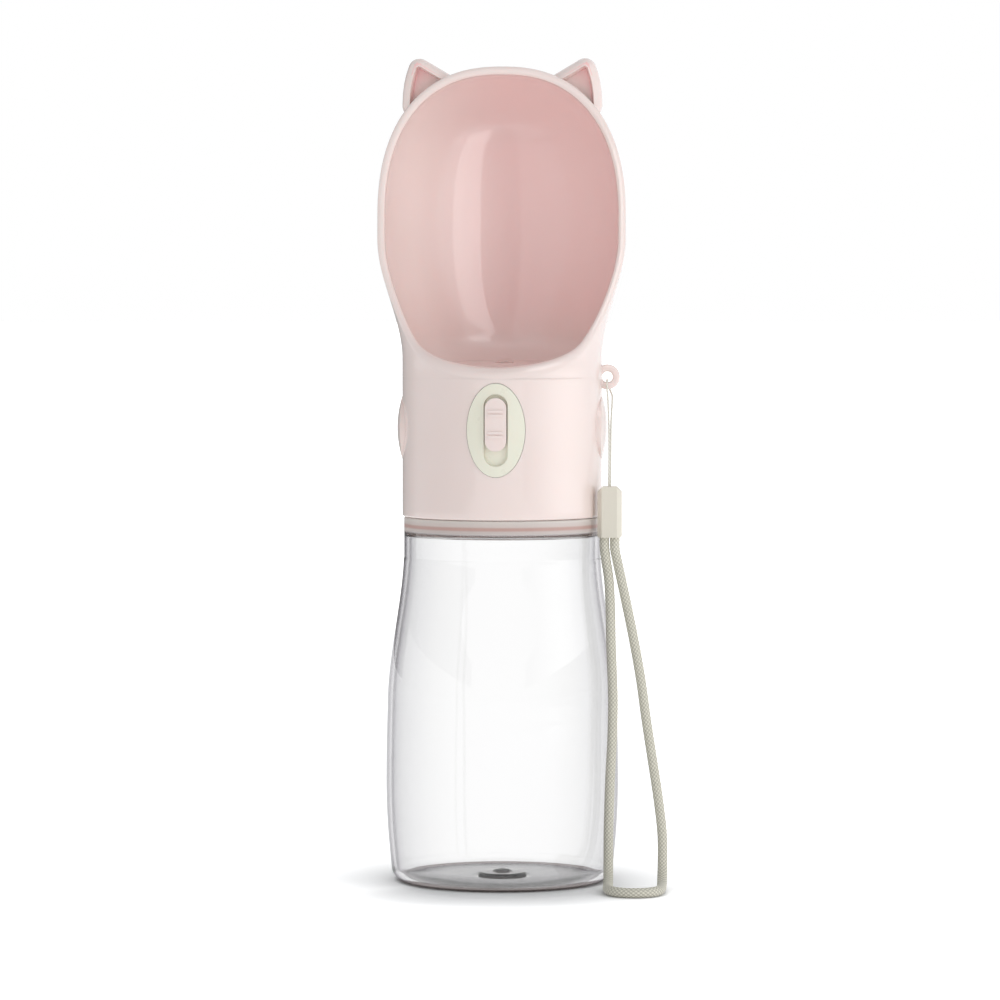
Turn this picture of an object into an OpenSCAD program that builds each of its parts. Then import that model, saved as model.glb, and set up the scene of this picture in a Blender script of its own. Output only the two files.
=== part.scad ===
/* [Bottle] */
// Outside diameter of the clear bottle at its belly
bottle_d = 70; // [66:0.5:71]
// Outside diameter of the bottle from its waist up to its shoulder
waist_d = 59; // [57:0.2:59.4]
// Height of the shoulder above the table
shoulder_z = 109.4; // [104:0.2:122]
// Height of the belly's widest place
belly_z = 30; // [24:1:40]
// Wall of the bottle
bottle_wall = 1.5; // [1.2:0.1:2.2]
// Height of the rim that stands round the shoulder plate
rim_h = 2.5; // [1.5:0.1:3.5]
// Thickness of the shoulder plate round the neck
shoulder_t = 1.6; // [1.2:0.1:2.4]
// Thickness of the bottle's base
base_t = 2; // [1.5:0.1:3]
// Rise of the push-up in the middle of the base
punt_h = 3.8; // [1:0.2:5]
// Outside diameter of the neck, without its thread
neck_d = 40; // [36:0.5:40]
// Bore of the neck
neck_bore = 36; // [32:0.5:36]
// Height of the neck above the shoulder
neck_h = 12.1; // [10:0.1:14]

/* [Head] */
// Outside diameter of the skirt
skirt_d = 60; // [60:0.2:62]
// Wall of the skirt
skirt_wall = 2; // [1.6:0.1:2.2]
// Gap between the bottle's shoulder and the skirt's lower edge
skirt_gap = 0.4; // [0.3:0.1:1]
// Full width of the scoop at its widest
scoop_w = 74.4; // [68:0.2:80]
// Wall of the scoop
scoop_wall = 2.2; // [1.8:0.1:2.6]
// Height from the skirt's edge to the scoop's front lip
lip_h = 41.6; // [40:0.2:46]
// Height from the lip to the scoop's widest place
scoop_rise = 47.6; // [40:0.2:56]
// Height from the widest place to the top of the scoop
scoop_top = 45.25; // [38:0.25:52]
// How far behind the skirt's axis the rim of the scoop lies, towards the front when negative
rim_y = -4; // [-8:0.5:0]
// Height over which the opening's side line falls away to the lip
rim_fall = 11; // [8:0.5:14]
// Roundness of the scoop's top outline, 2 being an ellipse
top_round = 2.35; // [2:0.05:2.8]
// Fillet between the bowl's floor and its walls
bowl_fillet = 8; // [5:0.5:10]
// Rise of the bowl's floor for each millimetre towards the back
floor_slope = 0.05; // [0.02:0.01:0.07]
// Diameter of the water outlet in the bowl's floor
outlet_d = 5.5; // [4.8:0.1:6]

/* [Ears] */
// Distance of each ear's tip from the middle
ear_tip_x = 24.8; // [22:0.2:26]
// Height of the ears above the top of the scoop
ear_up = 2.6; // [1:0.1:4]
// Depth of an ear from its front to its back
ear_depth = 9; // [6:0.5:12]
// Width of the band round an ear's hollow
ear_band = 2.2; // [1.5:0.1:2.6]
// Depth of an ear's hollow
ear_hollow = 4; // [2:0.5:6]

/* [Eyelet and pads] */
// Outside diameter of the eyelet
eyelet_d = 7.5; // [7:0.1:8.5]
// Hole in the eyelet
eyelet_hole = 3.2; // [2.8:0.1:3.4]
// Thickness of the eyelet
eyelet_t = 2.6; // [2:0.2:3.4]
// Height of the eyelet's hole above the skirt's edge
eyelet_h = 41.8; // [38:0.2:44]
// Diameter of the round side pads
pad_d = 19; // [16:0.5:20]
// How far a side pad stands proud of the skirt
pad_proud = 1.5; // [0.8:0.1:2]

/* [Water button] */
// Width of the oval water button
button_w = 17.2; // [16:0.2:18]
// Height of the oval water button
button_h = 27.6; // [26:0.2:28]
// Height of the button's middle above the skirt's edge
button_up = 26.6; // [26:0.1:26.8]
// How far the button stands proud of the skirt
button_proud = 0.3; // [0.1:0.1:0.8]
// How far the button goes in
button_travel = 3; // [2:0.1:3.1]
// Clearance round the oval in the skirt
button_gap = 0.25; // [0.2:0.05:0.4]
// Width of the lock's recess in the button
recess_w = 7.1; // [6.9:0.1:7.6]
// Height of the lock's recess
recess_h = 21.3; // [21.3:0.1:22]
// Depth of the lock's recess
recess_t = 1.2; // [1:0.1:1.5]

/* [Lock slider] */
// Width of the lock slider
lock_w = 6.3; // [5.6:0.1:6.5]
// Height of the lock slider
lock_h = 15.7; // [14.8:0.1:16]
// How far the lock slider goes down
lock_travel = 4.4; // [3:0.1:4.4]
// Gap above the lock slider in its upper place
lock_top_gap = 1.1; // [0.2:0.1:1.1]
// How far the lock slider stands proud of the button
lock_proud = 1; // [0.6:0.1:1.6]
// Height of the thumb ribs on the lock slider
rib_proud = 0.35; // [0.15:0.05:0.5]

/* [Valve] */
// Bore of the valve housing
valve_bore = 8.8; // [8.4:0.1:9.2]
// Wall of the valve housing
valve_wall = 2; // [1.6:0.1:2.2]
// Thickness of a seal ring's section on the spool
ring_t = 1.16; // [1:0.02:1.2]
// Diameter of the spool's front stem
stem_d = 4.8; // [4:0.1:5]
// Wire of the return spring
spring_wire = 0.5; // [0.4:0.05:0.6]
// Turns of the return spring
spring_turns = 4; // [3:1:5]
// Outside diameter of the inlet and outlet pipes
pipe_d = 7.2; // [6.8:0.1:7.4]
// Bore of the inlet and outlet pipes
pipe_bore = 3.4; // [3:0.1:3.8]

/* [Collar] */
// Radial room for the screw thread between the neck and the collar
thread_room = 1.4; // [1.3:0.1:1.7]
// Wall of the screw collar
collar_wall = 1.6; // [1.2:0.1:1.7]
// Thickness of the deck
deck_t = 2.2; // [1.8:0.1:2.4]
// Thickness of the neck gasket
gasket_t = 1.7; // [1.2:0.1:2.2]

/* [Lanyard] */
// Diameter of the braided wrist loop's cord
cord_d = 3; // [2.6:0.1:3.2]
// Diameter of each strand of the string
string_d = 0.6; // [0.5:0.1:0.7]
// Width of the bead
bead_w = 7.2; // [6.8:0.1:7.6]
// Length of the bead
bead_h = 15.2; // [12:0.2:16]
// Depth of the bead from front to back
bead_t = 5.6; // [5.4:0.2:6.4]

/* [Hidden] */
$fn = 96;

// Clearances: face to face, easy running, and a close running fit
face_gap = 0.1;
run_gap = 0.15;
fit_gap = 0.05;
// Room round a screw in the piece it holds down
screw_room = 0.3;
// Overshoot of a cut past the face it opens
cut = 1;

pink = [0.93, 0.83, 0.81];
deep_pink = [0.88, 0.72, 0.70];
cream = [0.93, 0.91, 0.86];
beige = [0.82, 0.80, 0.74];

function smooth(t) = let(u = min(max(t, 0), 1)) u * u * (3 - 2 * u);
function mix(a, b, t) = a + (b - a) * t;

// Bottle

bottle_r = bottle_d / 2;
waist_r = waist_d / 2;
neck_top = shoulder_z + neck_h;
plate_z = shoulder_z - rim_h;
// The foot: a flat ring, a rounded corner outside it and a domed push-up inside it
foot_in = 5.7;
foot_r = bottle_r - foot_in;
foot_corner_h = 4;
foot_ring = 3;
punt_r = foot_r - foot_ring;
// The belly is a parabola below and above its widest place, then a wave leads to the waist
low_curve = 0.0024;
high_curve = 0.00083;
belly_top = belly_z + 22;
wave_end = shoulder_z - 7.4;
waist_z = shoulder_z - 12;
side_step = 4;
rim_round = 0.5;
neck_chamfer = 0.4;

function belly_r(z) = bottle_r - (z < belly_z ? low_curve : high_curve) * pow(z - belly_z, 2);
function wave_r(z) =
    mix(belly_r(belly_top), waist_r,
        (1 - cos(180 * (z - belly_top) / (wave_end - belly_top))) / 2);
function side_r(z) = z < belly_top ? belly_r(z) : wave_r(z);

// Outer side of the bottle from its foot corner to the waist
outer_side = concat(
    [for (a = [0 : 15 : 75]) [
        foot_r + (side_r(foot_corner_h) - foot_r) * sin(a),
        foot_corner_h * (1 - cos(a))
    ]],
    [for (z = [foot_corner_h : side_step : waist_z]) [side_r(z), z]]
);

// The dome of the push-up at a share t of its radius, raised by z
function punt(t, z) = [punt_r * t, z + punt_h * (1 - t * t)];

module bottle_outline() {
    polygon(concat(
        [for (t = [0 : 0.2 : 1]) punt(t, 0)],
        outer_side,
        [
            [waist_r, waist_z],
            [waist_r, shoulder_z - rim_round],
            [waist_r - rim_round, shoulder_z],
            [waist_r - bottle_wall, shoulder_z],
            [waist_r - bottle_wall, plate_z],
            [neck_d / 2, plate_z],
            [neck_d / 2, neck_top - neck_chamfer],
            [neck_d / 2 - neck_chamfer, neck_top],
            [0, neck_top]
        ]
    ));
}

module bottle_hollow() {
    corner = 3.5;
    fillet = 1.5;
    side_z = base_t + corner;
    floor_r = side_r(side_z) - bottle_wall - corner;
    under = plate_z - shoulder_t;
    polygon(concat(
        [for (t = [0 : 0.2 : 1]) punt(t, base_t)],
        [for (a = [0 : 15 : 75]) [
            floor_r + corner * sin(a),
            side_z - corner * cos(a)
        ]],
        [for (z = [side_z : side_step : waist_z]) [side_r(z) - bottle_wall, z]],
        [
            [waist_r - bottle_wall, waist_z],
            [waist_r - bottle_wall, under - fillet],
            [waist_r - bottle_wall - fillet, under],
            [neck_bore / 2 + fillet, under],
            [neck_bore / 2, under + fillet],
            [neck_bore / 2, neck_top + cut],
            [0, neck_top + cut]
        ]
    ));
}

module bottle_body() {
    color([0.95, 0.95, 0.97, 0.35])
    rotate_extrude()
    difference() {
        bottle_outline();
        bottle_hollow();
    }
}

// Screw collar and gasket

gasket_room = 0.6;
gasket_lip = 0.5;
thread_bore = neck_d + 2 * thread_room;
collar_out = thread_bore + 2 * collar_wall;
gasket_z = neck_top + face_gap;
deck_z = gasket_z + gasket_t + face_gap;
deck_top = deck_z + deck_t;
skirt_r = skirt_d / 2;
cavity_r = skirt_r - skirt_wall;
deck_r = cavity_r - run_gap;

skirt_z = shoulder_z + skirt_gap;
lip_z = skirt_z + lip_h;
button_z = skirt_z + button_up;
ceiling_z = lip_z + 0.2;

// The collar reaches down to the shoulder plate, and a flange at its foot fills the bottle's rim
turn_gap = 0.3;
collar_z = plate_z + turn_gap;
flange_r = min(cavity_r, waist_r - bottle_wall) - turn_gap;
flange_top = skirt_z + 0.6;
flange_t = 1.2;
// Pieces of one solid are sunk into each other by this much
sink = 0.5;

// Four posts hang from the bowl's underside and take the collar's screws
post_r = 2.6;
post_ring = cavity_r - 2.4;
post_angles = [45, 135, 215, 325];
post_screw_d = 2.1;
post_screw_l = 11.6;
post_head_d = 3.8;
post_head_h = 1.4;

// The valve stands over the deck, its axis level with the button's middle
valve_out = valve_bore + 2 * valve_wall;
inlet_y = 3;
outlet_y = 12.3;
socket_wall = 2.1;
socket_gap = 0.1;
socket_d = pipe_d + 2 * socket_gap;
inlet_socket_h = 3.8;
outlet_socket_h = 4;
socket_deep = 1;
lug_x = 9.3;
lug_t = 2.4;
lug_w = 6;
lug_post_d = 4.8;
lug_under = button_z - lug_t / 2;
lug_screw_d = 2;
lug_screw_l = 8.5;
lug_head_d = 4.2;
lug_head_h = 1.5;

// The deck's front is cut flat where the button's flange goes in
deck_notch_w = button_w + 6;
deck_notch_in = 0.4;

module at_posts() {
    for (a = post_angles)
        rotate(a) translate([post_ring, 0, 0]) children();
}

module at_lugs() {
    for (s = [-1, 1])
        translate([s * lug_x, inlet_y, 0]) children();
}

module screw_collar() {
    color(deep_pink)
    difference() {
        union() {
            translate([0, 0, collar_z]) cylinder(d = collar_out, h = deck_top - collar_z);
            translate([0, 0, deck_z]) cylinder(r = deck_r, h = deck_t);
            difference() {
                translate([0, 0, collar_z]) cylinder(r = flange_r, h = flange_top - collar_z);
                translate([0, 0, collar_z - cut])
                    groove(flange_r - collar_wall, collar_out / 2,
                        flange_top - collar_z - flange_t + cut);
            }
            translate([0, inlet_y, deck_top - sink])
                cylinder(d = socket_d + 2 * socket_wall, h = inlet_socket_h + sink);
            at_lugs()
                translate([0, 0, deck_top - sink])
                cylinder(d = lug_post_d, h = lug_under - face_gap - deck_top + sink);
        }
        translate([0, 0, collar_z - cut]) cylinder(d = thread_bore, h = deck_z - collar_z + cut);
        translate([-deck_notch_w / 2, -skirt_r, deck_z - cut])
            cube([deck_notch_w, skirt_r - collar_out / 2 + deck_notch_in, deck_t + 2 * cut]);
        translate([0, inlet_y, deck_z - cut]) cylinder(d = pipe_bore, h = deck_t + 2 * cut);
        translate([0, inlet_y, deck_top]) cylinder(d = socket_d, h = inlet_socket_h + cut);
        at_posts() translate([0, 0, deck_z - cut])
            cylinder(d = post_screw_d + screw_room, h = deck_t + 2 * cut);
        at_lugs() translate([0, 0, lug_under - lug_screw_l])
            cylinder(d = lug_screw_d + 2 * fit_gap, h = lug_screw_l + cut);
    }
}

module neck_gasket() {
    color("white")
    translate([0, 0, gasket_z])
    difference() {
        cylinder(d = thread_bore - 2 * gasket_room, h = gasket_t);
        translate([0, 0, -cut]) cylinder(d = neck_bore - 2 * gasket_lip, h = gasket_t + 2 * cut);
    }
}

module collar_screws() {
    color("silver")
    at_posts() {
        translate([0, 0, deck_z - face_gap - post_head_h])
            cylinder(d = post_head_d, h = post_head_h);
        translate([0, 0, deck_z - face_gap - post_head_h / 2])
            cylinder(d = post_screw_d, h = post_screw_l + post_head_h / 2);
    }
}

// Head shell: a loft of level rings, open at the front behind the rim

flare_z = lip_z + 5.6;
flare_h = scoop_rise - 11.6;
wide_z = lip_z + scoop_rise;
top_z = wide_z + scoop_top;
back_y = skirt_r;
dome_share = 0.5;
dome_z = wide_z + scoop_top * dome_share;
edge_chamfer = 0.6;
chamfer_h = 1.6;
open_step = 3.75;

// Half-width of the scoop's outside at height z
function scoop_half(z) =
    let(h = min(max((z - wide_z) / scoop_top, 0), 1))
    z < wide_z
        ? mix(skirt_r, scoop_w / 2, smooth((z - flare_z) / flare_h))
        : scoop_w / 2 * pow(1 - pow(h, top_round), 1 / top_round);
// Middle line of the rings, which moves to the front as the scoop flares
function ring_y(z) = rim_y * smooth((z - flare_z) / flare_h);
// Distance from the middle line to the scoop's back at height z
function scoop_deep(z) =
    let(h = min(max((z - dome_z) / (top_z - dome_z), 0), 1))
    (back_y - ring_y(z)) * sqrt(1 - h * h);
// The opening's side line: nearly level at the lip, then steep
function open_y(z) = rim_y - (skirt_r + rim_y) * exp(-max(z - lip_z, 0) / rim_fall);
// Angle from the back at which the ring at height z meets the opening
function open_angle(z) =
    let(c = (open_y(z) - ring_y(z)) / scoop_deep(z))
    min(180 - open_step, acos(max(min(c, 1), -1)));

lip_rows = [for (k = [1, 0.9, 0.8, 0.7, 0.6, 0.5, 0.4, 0.3, 0.2]) lip_z - rim_fall * ln(k)];
lip_end = lip_rows[len(lip_rows) - 1];
side_rows = [for (t = [0.1 : 0.1 : 1]) mix(lip_end, dome_z, t)];
dome_rows = [for (a = [12 : 12 : 72]) dome_z + (top_z - dome_z) * sin(a)];
crown_z = top_z - (top_z - dome_z) * 0.008;
loft_rows = concat(
    [skirt_z, skirt_z + chamfer_h], lip_rows, side_rows, dome_rows, [crown_z]
);
ring_n = 44;

function outer_ring(z) =
    let(a_end = open_angle(z), chamfer = z < skirt_z + chamfer_h ? edge_chamfer : 0)
    [for (i = [0 : ring_n]) let(a = mix(-a_end, a_end, i / ring_n)) [
        (scoop_half(z) - chamfer) * sin(a),
        ring_y(z) + (scoop_deep(z) - chamfer) * cos(a),
        z
    ]];

// A closed skin over rings of equal count, with flat ends
module skin(rings) {
    n = len(rings[0]);
    m = len(rings);
    polyhedron(
        points = [for (r = rings) for (p = r) p],
        faces = concat(
            [[for (i = [n - 1 : -1 : 0]) i]],
            [for (j = [0 : m - 2]) for (i = [0 : n - 1]) let(k = (i + 1) % n)
                [j * n + i, (j + 1) * n + k, (j + 1) * n + i]],
            [for (j = [0 : m - 2]) for (i = [0 : n - 1]) let(k = (i + 1) % n)
                [j * n + i, j * n + k, (j + 1) * n + k]],
            [[for (i = [0 : n - 1]) (m - 1) * n + i]]
        )
    );
}

// The bowl: the same loft a wall inside, with a sloping floor and a smaller fillet at the lip
bowl_z = lip_z + 2.3;
bowl_top = top_z - scoop_wall - 0.2;
bowl_round = 2.1;
bowl_n = 40;
lip_share = 0.7;
lip_angle = 70;
lean_from = bowl_z + 3;
lean_h = 16;

function bowl_ring(z, inset) =
    let(
        h = min(max((z - dome_z) / (bowl_top - dome_z), 0), 1),
        wide = z < dome_z ? scoop_half(z) - scoop_wall
            : (scoop_half(dome_z) - scoop_wall) * pow(1 - pow(h, bowl_round), 1 / bowl_round),
        deep = (back_y - scoop_wall - ring_y(z)) * sqrt(1 - h * h),
        lean = floor_slope * (1 - smooth((z - lean_from) / lean_h))
    )
    [for (i = [0 : bowl_n - 1])
        let(a = 360 * i / bowl_n, back = min(a, 360 - a),
            f = mix(lip_share, 1, smooth((180 - back) / lip_angle)) * inset,
            y = ring_y(z) + (deep - f) * cos(a))
        [(wide - f) * sin(a), y, z + lean * (y + cavity_r)]];

fillet_rows = [for (a = [0 : 18 : 72])
    [bowl_z + bowl_fillet * (1 - cos(a)), bowl_fillet * (1 - sin(a))]];
wall_rows = [for (t = [0 : 0.1 : 1]) mix(bowl_z + bowl_fillet, dome_z, t)];
cap_rows = [for (a = [15 : 15 : 75]) dome_z + (bowl_top - dome_z) * sin(a)];

module bowl_hollow() {
    skin(concat(
        [for (r = fillet_rows) bowl_ring(r[0], r[1])],
        [for (z = wall_rows) bowl_ring(z, 0)],
        [for (z = cap_rows) bowl_ring(z, 0)],
        [bowl_ring(bowl_top - 0.1, 0)]
    ));
}

// Ears: rounded horns behind the rim, each with a hollow front.
// The corners are places beside the ear's tip and below the scoop's top.
ear_tip_r = 3.4;
ear_front = rim_y + 0.8;
ear_fn = 24;
ear_corners = [
    [ear_tip_x, ear_up - ear_tip_r],
    [ear_tip_x + 1.8, -4.8],
    [ear_tip_x + 2, -11.5],
    [ear_tip_x - 10.6, -7.1]
];
ear_roots = [
    [ear_tip_x - 2, -5],
    [ear_tip_x - 4, -13]
];

module ear_solid() {
    hull() {
        for (c = ear_corners)
            translate([c[0], ear_front + ear_tip_r, top_z + c[1]])
            sphere(ear_tip_r, $fn = ear_fn);
        for (c = ear_roots)
            translate([c[0], ear_front + ear_depth - ear_tip_r, top_z + c[1]])
            sphere(ear_tip_r, $fn = ear_fn);
    }
}

module ear_cup() {
    hull()
    for (c = ear_corners)
        translate([c[0], ear_front - cut, top_z + c[1]])
        rotate([-90, 0, 0])
        cylinder(r = ear_tip_r - ear_band, h = ear_hollow, $fn = ear_fn);
}

eyelet_x = skirt_r + 1.6;
eyelet_z = skirt_z + eyelet_h;
pad_ball_r = (pow(pad_d / 2, 2) + pow(pad_proud, 2)) / (2 * pad_proud);
// How far the button's opening is cut behind the skirt's inner face in the middle
oval_reach = 4;

module side_pad() {
    intersection() {
        translate([cavity_r - cut, 0, button_z])
            rotate([0, 90, 0]) cylinder(d = pad_d, h = skirt_wall + pad_proud + 2 * cut);
        translate([skirt_r + pad_proud - pad_ball_r, 0, button_z]) sphere(pad_ball_r);
    }
}

module oval(w, h, y0, y1) {
    translate([0, y1, button_z])
        rotate([90, 0, 0])
        scale([w / h, 1, 1])
        cylinder(d = h, h = y1 - y0);
}

module head_shell() {
    color(pink)
    difference() {
        union() {
            difference() {
                union() {
                    skin([for (z = loft_rows) outer_ring(z)]);
                    for (s = [0, 1])
                        mirror([s, 0, 0]) {
                            difference() {
                                ear_solid();
                                ear_cup();
                            }
                            side_pad();
                        }
                    translate([eyelet_x, eyelet_t / 2, eyelet_z])
                        rotate([90, 0, 0]) cylinder(d = eyelet_d, h = eyelet_t);
                }
                translate([0, 0, skirt_z - cut])
                    cylinder(r = cavity_r, h = ceiling_z - skirt_z + cut);
                bowl_hollow();
            }
            at_posts()
                translate([0, 0, deck_top + face_gap])
                cylinder(r = post_r, h = ceiling_z + sink - deck_top);
            translate([0, outlet_y, ceiling_z - outlet_socket_h])
                cylinder(d = socket_d + 2 * socket_wall, h = outlet_socket_h + sink);
        }
        at_posts()
            translate([0, 0, deck_top - cut])
            cylinder(d = post_screw_d + 2 * fit_gap, h = post_screw_l + cut);
        translate([0, outlet_y, ceiling_z - outlet_socket_h - cut])
            cylinder(d = socket_d, h = outlet_socket_h + socket_deep + cut);
        translate([0, outlet_y, ceiling_z]) cylinder(d = outlet_d, h = 2 * bowl_fillet);
        translate([eyelet_x, eyelet_t, eyelet_z])
            rotate([90, 0, 0]) cylinder(d = eyelet_hole, h = 2 * eyelet_t);
        oval(button_w + 2 * button_gap, button_h + 2 * button_gap,
            -skirt_r - cut, -cavity_r + oval_reach);
    }
}

// Valve: a spool in a level housing, between the deck and the bowl's floor

front_wall = 2;
valve_front = -13.5;
valve_rear = 24.5;
port_r = 1.6;
port_edge = 0.2;
pipe_end_gap = 0.3;
inlet_end = deck_top + pipe_end_gap;
outlet_end = ceiling_z + socket_deep - pipe_end_gap;
pipe_ring_t = 0.96;
pipe_ring_r = socket_d / 2 - fit_gap;
ring_clear = 0.02;
pipe_groove_r = pipe_ring_r - pipe_ring_t - ring_clear;
pipe_groove_h = pipe_ring_t + 0.14;
pipe_tip = 1.2;
inlet_groove_z = inlet_end + pipe_tip;
outlet_groove_z = outlet_end - pipe_tip - pipe_groove_h;
cap_plug = 2;
cap_flange = 1.1;

// A rod along Y from y0 to y1
module y_rod(d, y0, y1, x = 0, z = button_z) {
    translate([x, y1, z]) rotate([90, 0, 0]) cylinder(d = d, h = y1 - y0);
}

// A turned shape along Y from points of radius and place
module y_turned(points) {
    translate([0, 0, button_z]) rotate([-90, 0, 0]) rotate_extrude() polygon(points);
}

module seal_ring(r_out, t) {
    rotate_extrude() translate([r_out - t / 2, 0]) circle(d = t, $fn = 32);
}

module groove(r_out, r_in, h) {
    difference() {
        cylinder(r = r_out, h = h);
        translate([0, 0, -cut]) cylinder(r = r_in, h = h + 2 * cut);
    }
}

module valve_housing() {
    color("white")
    difference() {
        union() {
            y_rod(valve_out, valve_front, valve_rear);
            translate([0, inlet_y, inlet_end]) cylinder(d = pipe_d, h = button_z - inlet_end);
            translate([0, outlet_y, button_z]) cylinder(d = pipe_d, h = outlet_end - button_z);
            translate([-lug_x - lug_w / 2, inlet_y - lug_w / 2, lug_under])
                cube([2 * lug_x + lug_w, lug_w, lug_t]);
        }
        y_rod(valve_bore, valve_front + front_wall, valve_rear + cut);
        y_rod(stem_d + 2 * face_gap, valve_front - cut, valve_front + front_wall + cut);
        translate([0, inlet_y, inlet_end - cut])
            cylinder(d = pipe_bore, h = button_z - inlet_end + cut);
        translate([0, outlet_y, button_z]) cylinder(r = port_r, h = valve_out / 2);
        translate([0, outlet_y, button_z + valve_out / 2 - sink])
            cylinder(d = pipe_bore, h = outlet_end - button_z);
        translate([0, inlet_y, inlet_groove_z])
            groove(pipe_d, pipe_groove_r, pipe_groove_h);
        translate([0, outlet_y, outlet_groove_z])
            groove(pipe_d, pipe_groove_r, pipe_groove_h);
        at_lugs() translate([0, 0, lug_under - cut])
            cylinder(d = lug_screw_d + screw_room, h = lug_t + 2 * cut);
    }
}

module housing_screws() {
    color("silver")
    at_lugs() {
        translate([0, 0, lug_under + lug_t + face_gap])
            cylinder(d = lug_head_d, h = lug_head_h);
        translate([0, 0, lug_under - lug_screw_l + sink])
            cylinder(d = lug_screw_d, h = lug_screw_l + lug_t);
    }
}

module inlet_seal() {
    color("gray")
    translate([0, inlet_y, inlet_groove_z + pipe_groove_h / 2])
        seal_ring(pipe_ring_r, pipe_ring_t);
}

module outlet_seal() {
    color("gray")
    translate([0, outlet_y, outlet_groove_z + pipe_groove_h / 2])
        seal_ring(pipe_ring_r, pipe_ring_t);
}

// Button: an oval plate with a wider flange inside the skirt and two arms to the bridge

button_r = skirt_r + button_proud;
plate_r = cavity_r - 1.2;
flange_lip = 1;
recess_r = button_r - recess_t;
arm_x = 6.2;
arm_w = 2.6;
arm_h = 6;
bridge_front = -20.5;
bridge_t = 1.8;
bridge_back = bridge_front + bridge_t;
bridge_pin_d = 3.2;
bridge_screw_d = 1.3;
bridge_screw_l = 5.8;
bridge_head_d = 2.6;
bridge_head_h = 1;

lock_z = button_z + recess_h / 2 - lock_top_gap - lock_h / 2;
lock_r = button_r + lock_proud;
leg_w = 2.4;
leg_h = 3;
leg_past = 0.35;
leg_end = leg_past - plate_r;
leg_sink = 0.6;
clip_t = 1.2;
clip_w = 6;
clip_h = 5;
clip_pin_d = 1.8;
rib_w = 4.5;
rib_h = 0.7;
rib_at = [-3.95, -2.75, 2.35, 3.55];
slot_reach = 1.5;
button_deep = 6;
arm_sink = 0.2;

module shell_between(r_in, r_out) {
    translate([0, 0, button_z - button_h])
    difference() {
        cylinder(r = r_out, h = 2 * button_h);
        translate([0, 0, -cut]) cylinder(r = r_in, h = 2 * button_h + 2 * cut);
    }
}

// A slot shape, upright, cut or grown along Y
module upright_slot(w, h, z, y0, y1) {
    translate([0, y1, z])
    rotate([90, 0, 0])
    linear_extrude(y1 - y0)
    union() {
        square([w, h - w], center = true);
        translate([0, (h - w) / 2]) circle(d = w);
        translate([0, (w - h) / 2]) circle(d = w);
    }
}

module water_button() {
    wide = button_w + 2 * flange_lip;
    tall = button_h + 2 * flange_lip;
    front = -button_r - cut;
    behind = button_deep - plate_r;
    color(cream)
    difference() {
        union() {
            intersection() {
                oval(button_w, button_h, front, behind);
                shell_between(plate_r, button_r);
            }
            intersection() {
                oval(wide, tall, front, behind);
                shell_between(plate_r, cavity_r - run_gap);
            }
            for (s = [-1, 1])
                translate([s * arm_x - arm_w / 2, -plate_r - arm_sink, button_z - arm_h / 2])
                cube([arm_w, plate_r + arm_sink + bridge_front - face_gap, arm_h]);
        }
        difference() {
            upright_slot(recess_w, recess_h, button_z, front, slot_reach - recess_r);
            translate([0, 0, button_z - button_h]) cylinder(r = recess_r, h = 2 * button_h);
        }
        translate([
            -leg_w / 2 - run_gap,
            -button_r - cut,
            lock_z - leg_h / 2 - lock_travel - run_gap
        ])
            cube([leg_w + 2 * run_gap, button_deep, leg_h + lock_travel + 2 * run_gap]);
        for (s = [-1, 1])
            y_rod(bridge_screw_d + 2 * fit_gap, bridge_back - bridge_screw_l - screw_room,
                bridge_front + cut, s * arm_x);
    }
}

module push_bridge() {
    color("white")
    difference() {
        translate([-arm_x - arm_w / 2, bridge_front, button_z - arm_h / 2])
            cube([2 * arm_x + arm_w, bridge_t, arm_h]);
        y_rod(bridge_pin_d, bridge_front - cut, bridge_back + cut);
        for (s = [-1, 1])
            y_rod(bridge_screw_d + screw_room, bridge_front - cut, bridge_back + cut, s * arm_x);
    }
}

module bridge_screws() {
    color("silver")
    for (s = [-1, 1]) {
        y_rod(bridge_head_d, bridge_back + face_gap, bridge_back + face_gap + bridge_head_h,
            s * arm_x);
        y_rod(bridge_screw_d, bridge_back - bridge_screw_l, bridge_back + face_gap + sink,
            s * arm_x);
    }
}

module lock_slider() {
    color(pink)
    union() {
        intersection() {
            upright_slot(lock_w, lock_h, lock_z, -lock_r - cut, slot_reach - recess_r);
            shell_between(recess_r + run_gap, lock_r);
        }
        for (z = rib_at)
            intersection() {
                translate([-rib_w / 2, -lock_r - cut, lock_z + z])
                    cube([rib_w, lock_proud + 2 * cut, rib_h]);
                shell_between(lock_r - sink, lock_r + rib_proud);
            }
        translate([-leg_w / 2, -recess_r - leg_sink, lock_z - leg_h / 2])
            cube([leg_w, recess_r + leg_sink + leg_end, leg_h]);
        y_rod(clip_pin_d, leg_end - sink, leg_end + clip_t + face_gap, 0, lock_z);
    }
}

module lock_clip() {
    color("white")
    difference() {
        translate([-clip_w / 2, leg_end + face_gap / 2, lock_z - clip_h / 2])
            cube([clip_w, clip_t, clip_h]);
        y_rod(clip_pin_d + 2 * fit_gap, leg_end - cut, leg_end + clip_t + cut, 0, lock_z);
    }
}

// Spool and its rings

land_r = valve_bore / 2 - face_gap;
ring_out = valve_bore / 2 - fit_gap;
groove_r = ring_out - ring_t - ring_clear;
groove_w = ring_t + 0.08;
land_front = valve_front + front_wall + face_gap;
front_groove = land_front + 3.6;
front_land_end = land_front + 8.4;
core_r = 2.5;
mid_groove = outlet_y - port_r - port_edge - groove_w;
rear_land = mid_groove - 0.4;
rear_groove = outlet_y + port_r + port_edge;
rear_land_end = rear_groove + groove_w + 0.7;
spring_pin = 1.2;
spring_pin_r = 1.8;
neck_r = bridge_pin_d / 2 - fit_gap;
snap_r = neck_r + 0.5;
snap_front = bridge_front - face_gap - 1.3;
snap_edge = 0.6;

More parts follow.
